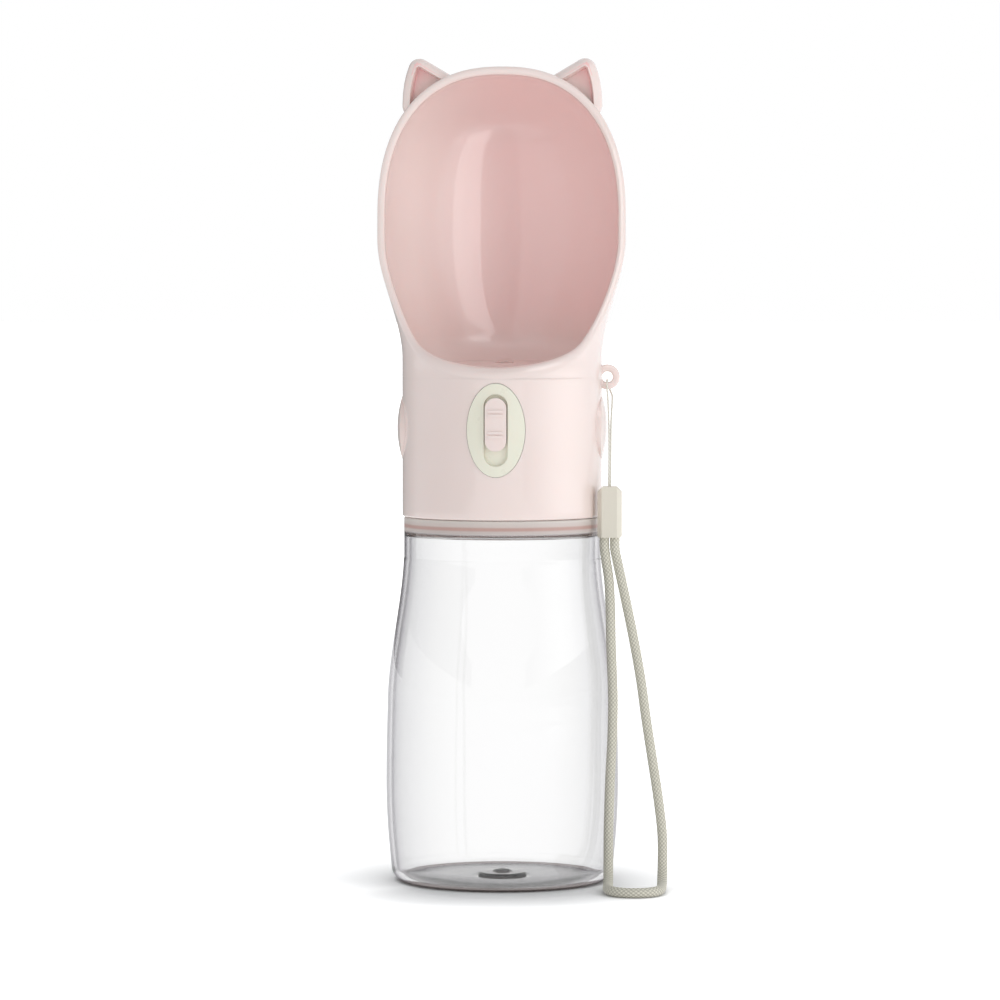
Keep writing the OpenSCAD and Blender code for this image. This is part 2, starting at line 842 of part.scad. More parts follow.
module valve_spool() {
    color("white")
    y_turned([
        [0, snap_front],
        [snap_r - snap_edge, snap_front],
        [snap_r, snap_front + snap_edge],
        [snap_r, bridge_front - face_gap],
        [neck_r, bridge_front - face_gap],
        [neck_r, bridge_back + fit_gap],
        [stem_d / 2, bridge_back + fit_gap],
        [stem_d / 2, land_front],
        [land_r, land_front],
        [land_r, front_groove],
        [groove_r, front_groove],
        [groove_r, front_groove + groove_w],
        [land_r, front_groove + groove_w],
        [land_r, front_land_end],
        [core_r, front_land_end],
        [core_r, rear_land],
        [land_r, rear_land],
        [land_r, mid_groove],
        [groove_r, mid_groove],
        [groove_r, mid_groove + groove_w],
        [land_r, mid_groove + groove_w],
        [land_r, rear_groove],
        [groove_r, rear_groove],
        [groove_r, rear_groove + groove_w],
        [land_r, rear_groove + groove_w],
        [land_r, rear_land_end],
        [spring_pin_r, rear_land_end],
        [spring_pin_r, rear_land_end + spring_pin],
        [0, rear_land_end + spring_pin]
    ]);
}

module spool_ring(y) {
    color("black")
    translate([0, y + groove_w / 2, button_z])
        rotate([-90, 0, 0]) seal_ring(ring_out, ring_t);
}

module seal_front() {
    spool_ring(front_groove);
}

module seal_middle() {
    spool_ring(mid_groove);
}

module seal_rear() {
    spool_ring(rear_groove);
}

module spring_cap() {
    color("white")
    union() {
        y_rod(valve_bore - 2 * fit_gap, valve_rear - cap_plug, valve_rear + sink);
        y_rod(valve_out, valve_rear + fit_gap, valve_rear + cap_flange);
        y_rod(2 * spring_pin_r, valve_rear - cap_plug - spring_pin, valve_rear - cap_plug + sink);
    }
}

// A tube through points: rings of given sides, square to the route, with flat ends

function unit(v) = v / norm(v);
function tangent(p, i) = unit(p[min(i + 1, len(p) - 1)] - p[max(i - 1, 0)]);

module tube(points, d, sides, aside) {
    skin([for (i = [0 : len(points) - 1])
        let(t = tangent(points, i), u = unit(cross(aside, t)), v = cross(t, u))
        [for (k = [0 : sides - 1]) let(a = -360 * k / sides)
            points[i] + d / 2 * (cos(a) * u + sin(a) * v)]]);
}

// Points of a smooth route through the given points, n steps from each to the next
function route(p, n) = concat(
    [for (i = [0 : len(p) - 2]) for (k = [0 : n - 1])
        let(t = k / n, a = p[max(i - 1, 0)], b = p[i], c = p[i + 1],
            d = p[min(i + 2, len(p) - 1)])
        0.5 * (2 * b + (c - a) * t + (2 * a - 5 * b + 4 * c - d) * t * t
            + (3 * b - a - 3 * c + d) * t * t * t)],
    [p[len(p) - 1]]
);
function route_length(p, i = 0) =
    i >= len(p) - 1 ? 0 : norm(p[i + 1] - p[i]) + route_length(p, i + 1);

// Return spring: one open helix between the spool and the cap

spring_r = 2.9;
spring_start = rear_land_end + spring_wire / 2 + face_gap;
spring_end = valve_rear - cap_plug - spring_wire / 2 - face_gap;
coil_steps = 8;
spring_points = [for (k = [0 : spring_turns * coil_steps])
    let(a = 360 * k / coil_steps, t = k / (spring_turns * coil_steps))
    [spring_r * cos(a), mix(spring_start, spring_end, t), button_z + spring_r * sin(a)]];
spring_gap = min([for (i = [0 : len(spring_points) - 6])
    for (j = [i + 5 : len(spring_points) - 1])
        norm(spring_points[i] - spring_points[j])]) - spring_wire;
echo(least_gap_of_the_spring_to_itself = spring_gap);

module return_spring() {
    color("silver") tube(spring_points, spring_wire, 6, [0, 1, 0]);
}

// Lanyard: a doubled string through the eyelet, a bead, and a wrist loop of braided cord.
// The routes keep to whole and tenth millimetres; the loop's lower end lies on the table.

bead_at = [32.75, -10.5, 111.6];
bead_top = bead_at[2] + bead_h / 2;
bead_foot = bead_at[2] - bead_h / 2;
strand_x = 1.55;

string_route = [
    [32.5, -11, bead_top],
    [32.5, -10.8, bead_top + 2],
    [32.5, -8.9, 127],
    [32.3, -6, 137],
    [31.9, -3.1, 144.5],
    [31.6, -2.1, 148],
    [31.5, -2, 149.7],
    [31.5, -1.4, 150.6],
    [31.5, 0, 150.6],
    [31.5, 1.4, 150.6],
    [31.6, 2, 149.6],
    [32.3, 2, 147.6],
    [33, 0.6, 146],
    [33.1, -1.6, 144],
    [32.9, -5, 137],
    [32.9, -7.9, 127],
    [32.9, -9.8, bead_top + 2],
    [32.9, -10, bead_top]
];

loop_route = [
    [bead_at[0] - strand_x, -10.5, bead_foot],
    [31.2, -10.5, 101],
    [31.7, -10.8, 97],
    [32.6, -11.5, 91],
    [33.1, -12.5, 82],
    [33.3, -13.5, 73],
    [33.7, -14.5, 64],
    [34, -15.5, 55],
    [33.8, -16.5, 44],
    [33.3, -17.2, 34],
    [33, -17.5, 25],
    [32.8, -17.8, 16],
    [32.8, -18.6, 9],
    [32.9, -21.2, 4.1],
    [33, -25.5, 1.8],
    [33.1, -30, 1.5],
    [34, -35, 1.5],
    [36.6, -38.6, 1.5],
    [41, -40, 1.5],
    [45.4, -38.6, 1.5],
    [48, -35, 1.5],
    [48.8, -30, 1.5],
    [48.9, -25.5, 1.8],
    [48.9, -21.2, 4.1],
    [48.9, -18.6, 9],
    [48.7, -17.8, 17],
    [47.5, -17.3, 27],
    [45.8, -16.6, 38],
    [43.9, -15.5, 50],
    [42.2, -14.5, 62],
    [40, -13.3, 74],
    [37.7, -12, 85],
    [35.7, -11.1, 94],
    [34.6, -10.5, 99],
    [34.3, -10.5, 101],
    [bead_at[0] + strand_x, -10.5, bead_foot]
];

loop_points = route(loop_route, 2);
string_points = route(string_route, 2);
echo(length_of_the_wrist_loop = route_length(loop_points));
echo(length_of_the_string = route_length(string_points));

module lanyard_string() {
    color("white") tube(string_points, string_d, 8, [1, 0, 0]);
}

module wrist_loop() {
    color(beige) tube(loop_points, cord_d, 8, [1, 1, 1]);
}

module cord_bead() {
    w = bead_w / 2;
    t = bead_t / 2;
    corner = [1.3, 1.4];
    chamfer = 1.5;
    edge = 0.4;
    color(beige)
    translate([bead_at[0], bead_at[1], bead_foot])
    intersection() {
        linear_extrude(bead_h)
        polygon([
            [-w, t - corner[1]], [-w + corner[0], t], [w - corner[0], t], [w, t - corner[1]],
            [w, corner[1] - t], [w - corner[0], -t], [corner[0] - w, -t], [-w, corner[1] - t]
        ]);
        translate([0, t, 0])
        rotate([90, 0, 0])
        linear_extrude(bead_t)
        polygon([
            [edge - w, 0], [w - edge, 0], [w, edge], [w, bead_h - chamfer],
            [w - chamfer, bead_h], [chamfer - w, bead_h], [-w, bead_h - chamfer], [-w, edge]
        ]);
    }
}

bottle_body();
neck_gasket();
head_shell();
screw_collar();
collar_screws();
valve_housing();
housing_screws();
inlet_seal();
outlet_seal();
valve_spool();
seal_front();
seal_middle();
seal_rear();
return_spring();
spring_cap();
water_button();
push_bridge();
bridge_screws();
lock_slider();
lock_clip();
lanyard_string();
cord_bead();
wrist_loop();
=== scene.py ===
# %% [markdown]
# # Dog travel water bottle
#
# A clear bottle under a pale pink head. The head is one moulding: a skirt that screws over the
# bottle's neck, and an open scoop with two ears that the dog drinks from. A cream oval button
# in the skirt opens a small valve, and a pink slider locks it. A braided loop hangs from an
# eyelet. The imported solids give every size; this script adds the finish, the fine forms and
# the light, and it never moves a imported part.

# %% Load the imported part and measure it
import math

import bmesh
import bpy
import numpy as np
from mathutils import Matrix, Vector


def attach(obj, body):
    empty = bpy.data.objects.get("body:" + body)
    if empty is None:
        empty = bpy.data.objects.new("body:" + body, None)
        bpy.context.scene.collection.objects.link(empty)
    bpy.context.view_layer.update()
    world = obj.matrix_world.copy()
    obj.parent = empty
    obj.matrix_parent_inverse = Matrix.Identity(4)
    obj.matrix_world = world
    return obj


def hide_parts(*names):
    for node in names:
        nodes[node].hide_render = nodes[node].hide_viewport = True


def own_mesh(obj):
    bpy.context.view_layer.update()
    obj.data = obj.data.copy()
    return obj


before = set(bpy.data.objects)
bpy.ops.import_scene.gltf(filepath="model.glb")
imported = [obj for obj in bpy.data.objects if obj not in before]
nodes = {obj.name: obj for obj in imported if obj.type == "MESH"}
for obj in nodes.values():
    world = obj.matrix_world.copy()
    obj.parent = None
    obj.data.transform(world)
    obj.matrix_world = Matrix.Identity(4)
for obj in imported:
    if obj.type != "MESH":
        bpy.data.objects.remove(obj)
scene = bpy.context.scene
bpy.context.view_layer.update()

MM = 0.001

# %% [markdown]
# ## Camera
#
# The photograph was measured first: the bottle's belly is 70 mm and spans 233 pixels, the
# ellipses of the skirt and foot close to lines 182 mm above the table, and the button's middle
# lies 6 pixels to the left of the bottle's axis. That is a long lens from about 1.35 m, a little
# above the bottle's middle, looking 2.8 degrees down and from 3.7 degrees round to the right.

# %% Camera
CAM_AWAY = 1350 * MM
CAM_HIGH = 180 * MM
CAM_ROUND = math.radians(3.7)
CAM_DOWN = math.radians(2.777)
CAM_ASIDE = math.radians(0.029)
CAM_LENS = 161.8

cam_data = bpy.data.cameras.new("camera")
cam_data.lens = CAM_LENS
cam_data.sensor_width = 36
cam_data.clip_start = 0.05
cam_data.clip_end = 20
camera = bpy.data.objects.new("camera", cam_data)
scene.collection.objects.link(camera)
camera.location = (CAM_AWAY * math.sin(CAM_ROUND), -CAM_AWAY * math.cos(CAM_ROUND), CAM_HIGH)
camera.rotation_euler = (math.pi / 2 - CAM_DOWN, 0, CAM_ROUND + CAM_ASIDE)
scene.camera = camera
print("camera at", [round(c, 3) for c in camera.location], "lens", CAM_LENS)


# %% [markdown]
# ## Helpers
#
# Meshes are made from lists of points in millimetres. A grid of rings gives tubes and turned
# shapes; edges sharper than a set angle stay crisp and everything else is shaded smooth.


# %% Mesh helpers
def add_mesh(name, points, faces, material, sharp=38):
    """An object from points in millimetres, crisp where faces meet at more than sharp degrees."""
    mesh = bpy.data.meshes.new(name)
    mesh.from_pydata((np.asarray(points, float) * MM).tolist(), [], faces)
    mesh.validate()
    mesh.shade_smooth()
    mesh.set_sharp_from_angle(angle=math.radians(sharp))
    if material:
        mesh.materials.append(material)
    obj = bpy.data.objects.new(name, mesh)
    scene.collection.objects.link(obj)
    return obj


def tag(obj, name, values):
    """Gives each point of the mesh a number that the material reads."""
    made = obj.data.attributes.new(name, "FLOAT", "POINT")
    made.data.foreach_set("value", np.asarray(values, np.float32).reshape(-1))


def points_of(obj):
    """The mesh's points in millimetres."""
    flat = np.empty(3 * len(obj.data.vertices), np.float32)
    obj.data.vertices.foreach_get("co", flat)
    return flat.reshape(-1, 3) / MM


def full_circle(steps):
    """Angles of a full circle."""
    return 2 * math.pi * np.arange(steps) / steps


def ring_faces(rings, count, closed_ends=False, closed_loop=False, wrap=True):
    """Quads between rings of the same count of points, in order."""
    faces = []
    last = rings if closed_loop else rings - 1
    for j in range(last):
        a, b = j * count, ((j + 1) % rings) * count
        for i in range(count if wrap else count - 1):
            k = (i + 1) % count
            faces.append((a + i, a + k, b + k, b + i))
    if closed_ends:
        faces.append(tuple(range(count - 1, -1, -1)))
        faces.append(tuple((rings - 1) * count + i for i in range(count)))
    return faces


def turned(profile, steps, wobble):
    """A closed profile of (radius, height) points turned round Z; wobble adds to the radius."""
    points = []
    for a in full_circle(steps):
        for r, z in profile:
            r2 = r + wobble(a, r, z)
            points.append((r2 * math.cos(a), r2 * math.sin(a), z))
    faces = ring_faces(steps, len(profile), closed_loop=True)
    return points, [face[::-1] for face in faces]


def smooth_step(t):
    """From 0 at t = 0 to 1 at t = 1, level at both ends."""
    t = np.clip(t, 0, 1)
    return t * t * (3 - 2 * t)


def route(points, n):
    """The same smooth route through the points as in the solid's source, n steps each."""
    p = np.asarray(points, float)
    out = []
    for i in range(len(p) - 1):
        a, b, c, d = p[max(i - 1, 0)], p[i], p[i + 1], p[min(i + 2, len(p) - 1)]
        for k in range(n):
            t = k / n
            square = (2 * a - 5 * b + 4 * c - d) * t * t
            cube = (3 * b - a - 3 * c + d) * t**3
            out.append(0.5 * (2 * b + (c - a) * t + square + cube))
    out.append(p[-1])
    return np.array(out)


def even_path(points, step):
    """The route again, with its points an even step apart."""
    gaps = np.linalg.norm(np.diff(points, axis=0), axis=1)
    along = np.concatenate([[0], np.cumsum(gaps)])
    n = max(2, int(round(along[-1] / step)))
    at = np.linspace(0, along[-1], n + 1)
    return np.stack([np.interp(at, along, points[:, k]) for k in range(3)], 1), at


def frames_along(path):
    """Directions square to the path that turn with it and don't spin."""
    tangents = np.gradient(path, axis=0)
    tangents /= np.linalg.norm(tangents, axis=1)[:, None]
    u = np.cross(tangents[0], (0.3, 1, 0.2))
    u /= np.linalg.norm(u)
    us = []
    for t in tangents:
        u = u - t * np.dot(u, t)
        u /= np.linalg.norm(u)
        us.append(u)
    us = np.array(us)
    return us, np.cross(tangents, us)


def swept(path, along, radius, sides):
    """Points of a tube; radius is a function of the angle round it and the length along it."""
    us, vs = frames_along(path)
    angle, length = np.meshgrid(full_circle(sides), along)
    r = radius(angle, length)
    ring = (
        path[:, None, :]
        + (r * np.cos(angle))[..., None] * us[:, None, :]
        + (r * np.sin(angle))[..., None] * vs[:, None, :]
    )
    return ring.reshape(-1, 3), r


def boolean(target, cutter, operation):
    """Cuts, joins or meets target with cutter for good, and takes the cutter away."""
    modifier = target.modifiers.new("cut", "BOOLEAN")
    modifier.operation = operation
    modifier.solver = "MANIFOLD"
    modifier.object = cutter
    graph = bpy.context.evaluated_depsgraph_get()
    made = bpy.data.meshes.new_from_object(target.evaluated_get(graph))
    target.modifiers.clear()
    old = target.data
    target.data = made
    bpy.data.meshes.remove(old)
    bpy.data.objects.remove(cutter)


def soften(obj, width):
    """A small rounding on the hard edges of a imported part."""
    bevel = obj.modifiers.new("soft edge", "BEVEL")
    bevel.width = width * MM
    bevel.segments = 3
    bevel.limit_method = "ANGLE"
    bevel.angle_limit = math.radians(35)


# %% [markdown]
# ## Materials
#
# Each finish is made from noise at the scale the real surface has it: the moulded plastics
# carry a very fine grain and a slow drift in gloss, the cord painted shade in its furrows.


# %% Material helpers
PLASTIC_IOR = 1.49


def empty_material(name):
    """A material that has only its output."""
    material = bpy.data.materials.new(name)
    material.use_nodes = True
    tree = material.node_tree
    tree.nodes.clear()
    return material, tree, tree.nodes.new("ShaderNodeOutputMaterial")


def new_material(name):
    """A material with one plain shader to fill in."""
    material, tree, out = empty_material(name)
    shader = tree.nodes.new("ShaderNodeBsdfPrincipled")
    tree.links.new(shader.outputs[0], out.inputs["Surface"])
    return material, tree, shader


def feed(socket, value):
    """Links the value to the socket, or sets it where the value is no socket itself."""
    if isinstance(value, bpy.types.NodeSocket):
        socket.id_data.links.new(value, socket)
    else:
        socket.default_value = value


def fill(node, **values):
    """Feeds a node's inputs by name, with _ for each space."""
    for name, value in values.items():
        feed(node.inputs[name.replace("_", " ")], value)


def linear(r, g, b):
    """An sRGB colour from 0 to 255 as the linear values that the shader takes."""
    def one(c):
        c /= 255
        return c / 12.92 if c <= 0.04045 else ((c + 0.055) / 1.055) ** 2.4

    return (one(r), one(g), one(b), 1)


def noise(tree, scale, detail, roughness=0.5):
    """Noise in the object's own space; scale is in cells per metre."""
    place = tree.nodes.new("ShaderNodeTexCoord")
    made = tree.nodes.new("ShaderNodeTexNoise")
    fill(made, Scale=scale, Detail=detail, Roughness=roughness, Vector=place.outputs["Object"])
    return made.outputs["Fac"]


def remap(tree, value, low, high, from_low=0.3, from_high=0.7):
    """The value's range spread over low to high; its own defaults suit noise."""
    node = tree.nodes.new("ShaderNodeMapRange")
    fill(node, From_Min=from_low, From_Max=from_high, To_Min=low, To_Max=high, Value=value)
    return node.outputs["Result"]


def blend_colour(tree, value, low, high):
    """From the colour low at value 0 to the colour high at 1."""
    node = tree.nodes.new("ShaderNodeMix")
    node.data_type = "RGBA"
    node.clamp_factor = False
    fill(node, A=low, B=high, Factor=value)
    return node.outputs["Result"]


def share_of(tree, name):
    """The number that tag() gave the surface, 0 where there is none."""
    node = tree.nodes.new("ShaderNodeAttribute")
    node.attribute_name = name
    return node.outputs["Fac"]


def coordinates(tree):
    """Sockets of the object's own X, Y and Z."""
    place = tree.nodes.new("ShaderNodeTexCoord")
    apart = tree.nodes.new("ShaderNodeSeparateXYZ")
    tree.links.new(place.outputs["Object"], apart.inputs[0])
    return apart.outputs


def compute(tree, operation, *values):
    """A math node on sockets and numbers."""
    node = tree.nodes.new("ShaderNodeMath")
    node.operation = operation
    for i, value in enumerate(values):
        feed(node.inputs[i], value)
    return node.outputs[0]


def switch(tree, share, first, second, out):
    """Shows the first shader where share is 0 and the second where it is 1."""
    mixer = tree.nodes.new("ShaderNodeMixShader")
    fill(mixer, Fac=share)
    tree.links.new(first.outputs[0], mixer.inputs[1])
    tree.links.new(second.outputs[0], mixer.inputs[2])
    tree.links.new(mixer.outputs[0], out.inputs["Surface"])


def bump(tree, shader, value, strength, distance):
    """Fine relief; distance is its height in millimetres."""
    node = tree.nodes.new("ShaderNodeBump")
    fill(node, Strength=strength, Distance=distance * MM, Height=value)
    fill(shader, Normal=node.outputs["Normal"])


def plastic(name, colour, darker, rough, grain=0.01, scatter=0.0, coat=0.0, deep=None):
    """Moulded plastic: a slow drift of colour and gloss, and a fine grain.

    Where the mesh is tagged "deep", the colour goes over to that second tone, a deeper colour
    painted in as shade.
    """
    material, tree, shader = new_material(name)
    tint = blend_colour(tree, remap(tree, noise(tree, 35, 2), 0, 1), darker, colour)
    if deep:
        tint = blend_colour(tree, share_of(tree, "deep"), tint, deep)
    gloss = remap(tree, noise(tree, 240, 4), rough - 0.03, rough + 0.04)
    bump(tree, shader, noise(tree, 5200, 3), 0.12, grain)
    fill(
        shader, Base_Color=tint, Roughness=gloss, IOR=PLASTIC_IOR, Subsurface_Weight=scatter,
        Subsurface_Radius=(1.0, 0.45, 0.35), Subsurface_Scale=2.5 * MM,
        Coat_Weight=coat, Coat_Roughness=0.04,
    )
    return material


# %% The finishes
# The pink's deeper tone is painted shade for the bowl and the ears' hollows.
pink = plastic(
    "pink plastic", linear(236, 219, 214), linear(233, 216, 210), 0.4, scatter=0.1, coat=0.8,
    deep=linear(240, 207, 203),
)
collar_pink = plastic("collar plastic", linear(226, 188, 182), linear(220, 180, 174), 0.35)
cream = plastic("cream plastic", linear(233, 231, 215), linear(229, 226, 209), 0.3, scatter=0.1)
beige = plastic("bead plastic", linear(224, 219, 205), linear(218, 212, 198), 0.38)
white = plastic("valve plastic", linear(236, 236, 230), linear(228, 228, 222), 0.3)
rubber = plastic("seal rubber", linear(176, 176, 176), linear(160, 160, 162), 0.5, grain=0.03)

steel, tree, shader = new_material("screw steel")
patches = remap(tree, noise(tree, 900, 4), 0, 1)
tint = blend_colour(tree, patches, linear(150, 150, 152), linear(190, 190, 190))
gloss = remap(tree, noise(tree, 2500, 3), 0.22, 0.4)
fill(shader, Metallic=1, Base_Color=tint, Roughness=gloss)
bump(tree, shader, noise(tree, 6000, 2), 0.15, 0.01)


# Roughness of the milky rim, and how much of it lets no light through
FROST, MILKY = 0.35, 0.6

# Tones of the milky rim by height in millimetres, painted light: a highlight along the top and a
# line of the head's pink seen through
RIM_PAINTED_LINES = [
    (105.2, (238, 228, 224)), (106.4, (240, 226, 220)), (106.9, (222, 182, 172)),
    (107.4, (222, 186, 176)), (107.9, (240, 228, 222)), (108.9, (243, 234, 228)),
    (109.3, (250, 244, 238)),
]

# Painted shade on clear plastic by how aslant the wall is seen, for the dark its edges bend in: 0
# is square on, 1 edge on
EDGE_PAINTED_SHADE = [
    (0.0, (254, 254, 254)), (0.1, (253, 253, 253)), (0.22, (248, 248, 248)),
    (0.4, (239, 239, 240)), (0.56, (226, 226, 227)), (0.66, (209, 208, 211)),
    (0.74, (180, 177, 183)), (0.8, (90, 84, 94)), (0.86, (45, 40, 48)), (1.0, (30, 26, 32)),
]


def tones_along(tree, value, stops):
    """Colours along a value from 0 to 1."""
    ramp = tree.nodes.new("ShaderNodeValToRGB")
    ramp.color_ramp.elements.remove(ramp.color_ramp.elements[1])
    for i, (at, colour) in enumerate(stops):
        stop = ramp.color_ramp.elements[0] if i == 0 else ramp.color_ramp.elements.new(at)
        stop.position, stop.color = at, linear(*colour)
    fill(ramp, Fac=value)
    return ramp.outputs["Color"]


def rim_painted_lines(tree):
    """The milky rim's tones by height, painted light: a highlight along the top edge and a pink
    line half way down where the head shows through.
    """
    low, high = RIM_PAINTED_LINES[0][0], RIM_PAINTED_LINES[-1][0]
    height = remap(tree, coordinates(tree)[2], 0, 1, low * MM, high * MM)
    return tones_along(tree, height, [((z - low) / (high - low), tone) for z, tone in RIM_PAINTED_LINES])


def clear_plastic():
    """The bottle's plastic: clear, with grey edges painted in as shade where the wall is seen
    aslant.

    It has faint flow marks, a milky rim with painted light, and dark painted shade on the gate
    mark and foot line in the base.
    """
    material, tree, shader = new_material("clear plastic")
    slant = tree.nodes.new("ShaderNodeLayerWeight")
    tint = tones_along(tree, slant.outputs["Facing"], EDGE_PAINTED_SHADE)
    flow = remap(tree, noise(tree, 22, 2), 0, 0.03)
    tint = blend_colour(tree, flow, tint, linear(236, 236, 240))
    tint = blend_colour(tree, share_of(tree, "frost"), tint, rim_painted_lines(tree))
    # Painted shade: the gate mark and the foot line go dark for the base's dark reflections
    tint = blend_colour(tree, share_of(tree, "gate"), tint, linear(84, 74, 72))
    clear_part = remap(tree, share_of(tree, "frost"), 1, 1 - MILKY, 0, 1)
    rough = remap(tree, share_of(tree, "frost"), 0, FROST, 0, 1)
    bump(tree, shader, noise(tree, 60, 2), 0.06, 0.05)
    fill(
        shader, Base_Color=tint, Transmission_Weight=clear_part, Roughness=rough, IOR=PLASTIC_IOR
    )
    return material


clear = clear_plastic()


def fibre(name, high, low, rough, relief):
    """Woven or twisted yarn: painted shade darkens the furrows, the strands keep the bright
    colour, with a fine fuzz.
    """
    material, tree, shader = new_material(name)
    speck = compute(tree, "MULTIPLY_ADD", noise(tree, 3800, 4, 0.7), 0.35, -0.17)
    # The relief number also paints shade: the colour darkens towards the furrows.
    strands = compute(tree, "ADD", speck, share_of(tree, "relief"))
    strands.node.use_clamp = True
    tint = blend_colour(tree, strands, low, high)
    fill(shader, Base_Color=tint, Roughness=rough, Sheen_Weight=0.2)
    bump(tree, shader, noise(tree, 9000, 3), 0.4, relief)
    return material


# The low colours are painted shade for the furrows.
cord_fibre = fibre("cord fibre", linear(232, 229, 214), linear(120, 114, 98), 0.75, 0.05)
string_fibre = fibre("string fibre", linear(236, 234, 224), linear(196, 192, 180), 0.7, 0.02)
print("materials", len(bpy.data.materials))

# %% [markdown]
# ## Cords
#
# The string is a doubled strand of twisted yarn that hangs in the eyelet. The wrist loop is
# a round braid of sixteen strands, eight each way; its furrows are cut into the tube, deep
# where strands pass under. The routes repeat the points of the solid's source.

# %% The string and the wrist loop
SKIRT_Z = 109.8
BEAD_X, BEAD_Z = 32.75, 111.6
BEAD_H = 15.2
BEAD_TOP, BEAD_FOOT = BEAD_Z + BEAD_H / 2, BEAD_Z - BEAD_H / 2
STRAND_X = 1.55
CORD_D = 3
STRING_D = 0.6

string_route = [
    (32.5, -11, BEAD_TOP), (32.5, -10.8, BEAD_TOP + 2), (32.5, -8.9, 127), (32.3, -6, 137),
    (31.9, -3.1, 144.5), (31.6, -2.1, 148), (31.5, -2, 149.7), (31.5, -1.4, 150.6),
    (31.5, 0, 150.6), (31.5, 1.4, 150.6), (31.6, 2, 149.6), (32.3, 2, 147.6), (33, 0.6, 146),
    (33.1, -1.6, 144), (32.9, -5, 137), (32.9, -7.9, 127), (32.9, -9.8, BEAD_TOP + 2),
    (32.9, -10, BEAD_TOP),
]
loop_route = [
    (BEAD_X - STRAND_X, -10.5, BEAD_FOOT), (31.2, -10.5, 101), (31.7, -10.8, 97),
    (32.6, -11.5, 91), (33.1, -12.5, 82), (33.3, -13.5, 73), (33.7, -14.5, 64), (34, -15.5, 55),
    (33.8, -16.5, 44), (33.3, -17.2, 34), (33, -17.5, 25), (32.8, -17.8, 16), (32.8, -18.6, 9),
    (32.9, -21.2, 4.1), (33, -25.5, 1.8), (33.1, -30, 1.5), (34, -35, 1.5), (36.6, -38.6, 1.5),
    (41, -40, 1.5), (45.4, -38.6, 1.5), (48, -35, 1.5), (48.8, -30, 1.5), (48.9, -25.5, 1.8),
    (48.9, -21.2, 4.1), (48.9, -18.6, 9), (48.7, -17.8, 17), (47.5, -17.3, 27), (45.8, -16.6, 38),
    (43.9, -15.5, 50), (42.2, -14.5, 62), (40, -13.3, 74), (37.7, -12, 85), (35.7, -11.1, 94),
    (34.6, -10.5, 99), (34.3, -10.5, 101), (BEAD_X + STRAND_X, -10.5, BEAD_FOOT),
]


def braid(angle, along):
    """Height of a round braid's surface, 1 on top of a strand and 0 between strands."""
    strands, pitch = 8, 1.25
    a = strands * angle / (2 * math.pi) + along / pitch
    b = strands * angle / (2 * math.pi) - along / pitch
    fa, fb = a % 1 - 0.5, b % 1 - 0.5
    over = (np.floor(a) + np.floor(b)) % 2 == 0
    across = np.where(over, fa, fb)
    lengthwise = np.where(over, fb, fa)
    crown = 0.55 + 0.45 * np.cos(math.pi * lengthwise)
    return np.sqrt(np.clip(1 - (2 * across) ** 2, 0, 1)) * crown


def twist(angle, along):
    """Height of a three-ply yarn's surface."""
    return np.abs(np.cos(1.5 * angle + math.pi * along / 1.3))


def add_cord(name, points, diameter, sides, step, height, depth, material):
    """A cord on a route; height is the relief's shape and depth how deep its furrows are."""
    path, along = even_path(route(points, 8), step)
    radius = lambda angle, length: diameter / 2 - depth * (1 - height(angle, length))
    ring, r = swept(path, along, radius, sides)
    obj = add_mesh(name, ring, ring_faces(len(path), sides, closed_ends=True), material, 80)
    tag(obj, "relief", (r - (diameter / 2 - depth)) / depth)
    return obj, path, along[-1]


wrist, wrist_path, wrist_length = add_cord(
    "wrist_loop_braid", loop_route, CORD_D, 40, 0.16, braid, 0.22, cord_fibre
)
string, string_path, string_length = add_cord(
    "lanyard_string_twist", string_route, STRING_D, 12, 0.1, twist, 0.04, string_fibre
)
for cord_obj, node_name, slot_name in (
    (wrist, "wrist_loop", "cord_fibre"),
    (string, "lanyard_string", "string_fibre"),
):
    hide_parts(node_name)
    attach(cord_obj, "head")
print("wrist loop mm", round(wrist_length, 1), "string mm", round(string_length, 1))

# %% [markdown]
# ## Bottle
#
# The clear body is one turned shape. Its walls follow the solid's outline: the belly, the
# waist, the rim and the shoulder plate. The base is thin, with a stepped gate mark in its
# middle. The screw thread stands on the neck's outside: the radius follows a right-hand helix
# with a 4 mm lead.

# %% The clear bottle
BELLY_R, WAIST_R = 35, 29.5
SHOULDER_Z, BELLY_Z, WALL = 109.4, 30, 1.5
PLATE_Z, PLATE_T, BASE_T = SHOULDER_Z - 2.5, 1.6, 1.0
NECK_R, NECK_BORE, NECK_TOP = 20, 18, 121.5
FOOT_R, PUNT_R, PUNT = 29.3, 26.3, 0.4
GATE_R, GATE_H, GATE_TIP = 7.2, 1.2, 3.1
RIM_TOP = SHOULDER_Z + 0.25
LEAD = 4
RIDGE = 0.95


def bottle_side(z):
    """The outer radius of the belly and the waist at a height."""
    def belly(h):
        return BELLY_R - (0.0024 if h < BELLY_Z else 0.00083) * (h - BELLY_Z) ** 2

    top, end = BELLY_Z + 22, SHOULDER_Z - 7.4
    if z < top:
        return belly(z)
    t = (1 - math.cos(math.pi * (z - top) / (end - top))) / 2
    return belly(top) + (WAIST_R - belly(top)) * t


def arc(cx, cz, r, start, end, steps):
    """Points on a circle; angles from +X towards +Z."""
    return [
        (cx + r * math.cos(t), cz + r * math.sin(t))
        for t in np.radians(np.linspace(start, end, steps))
    ]


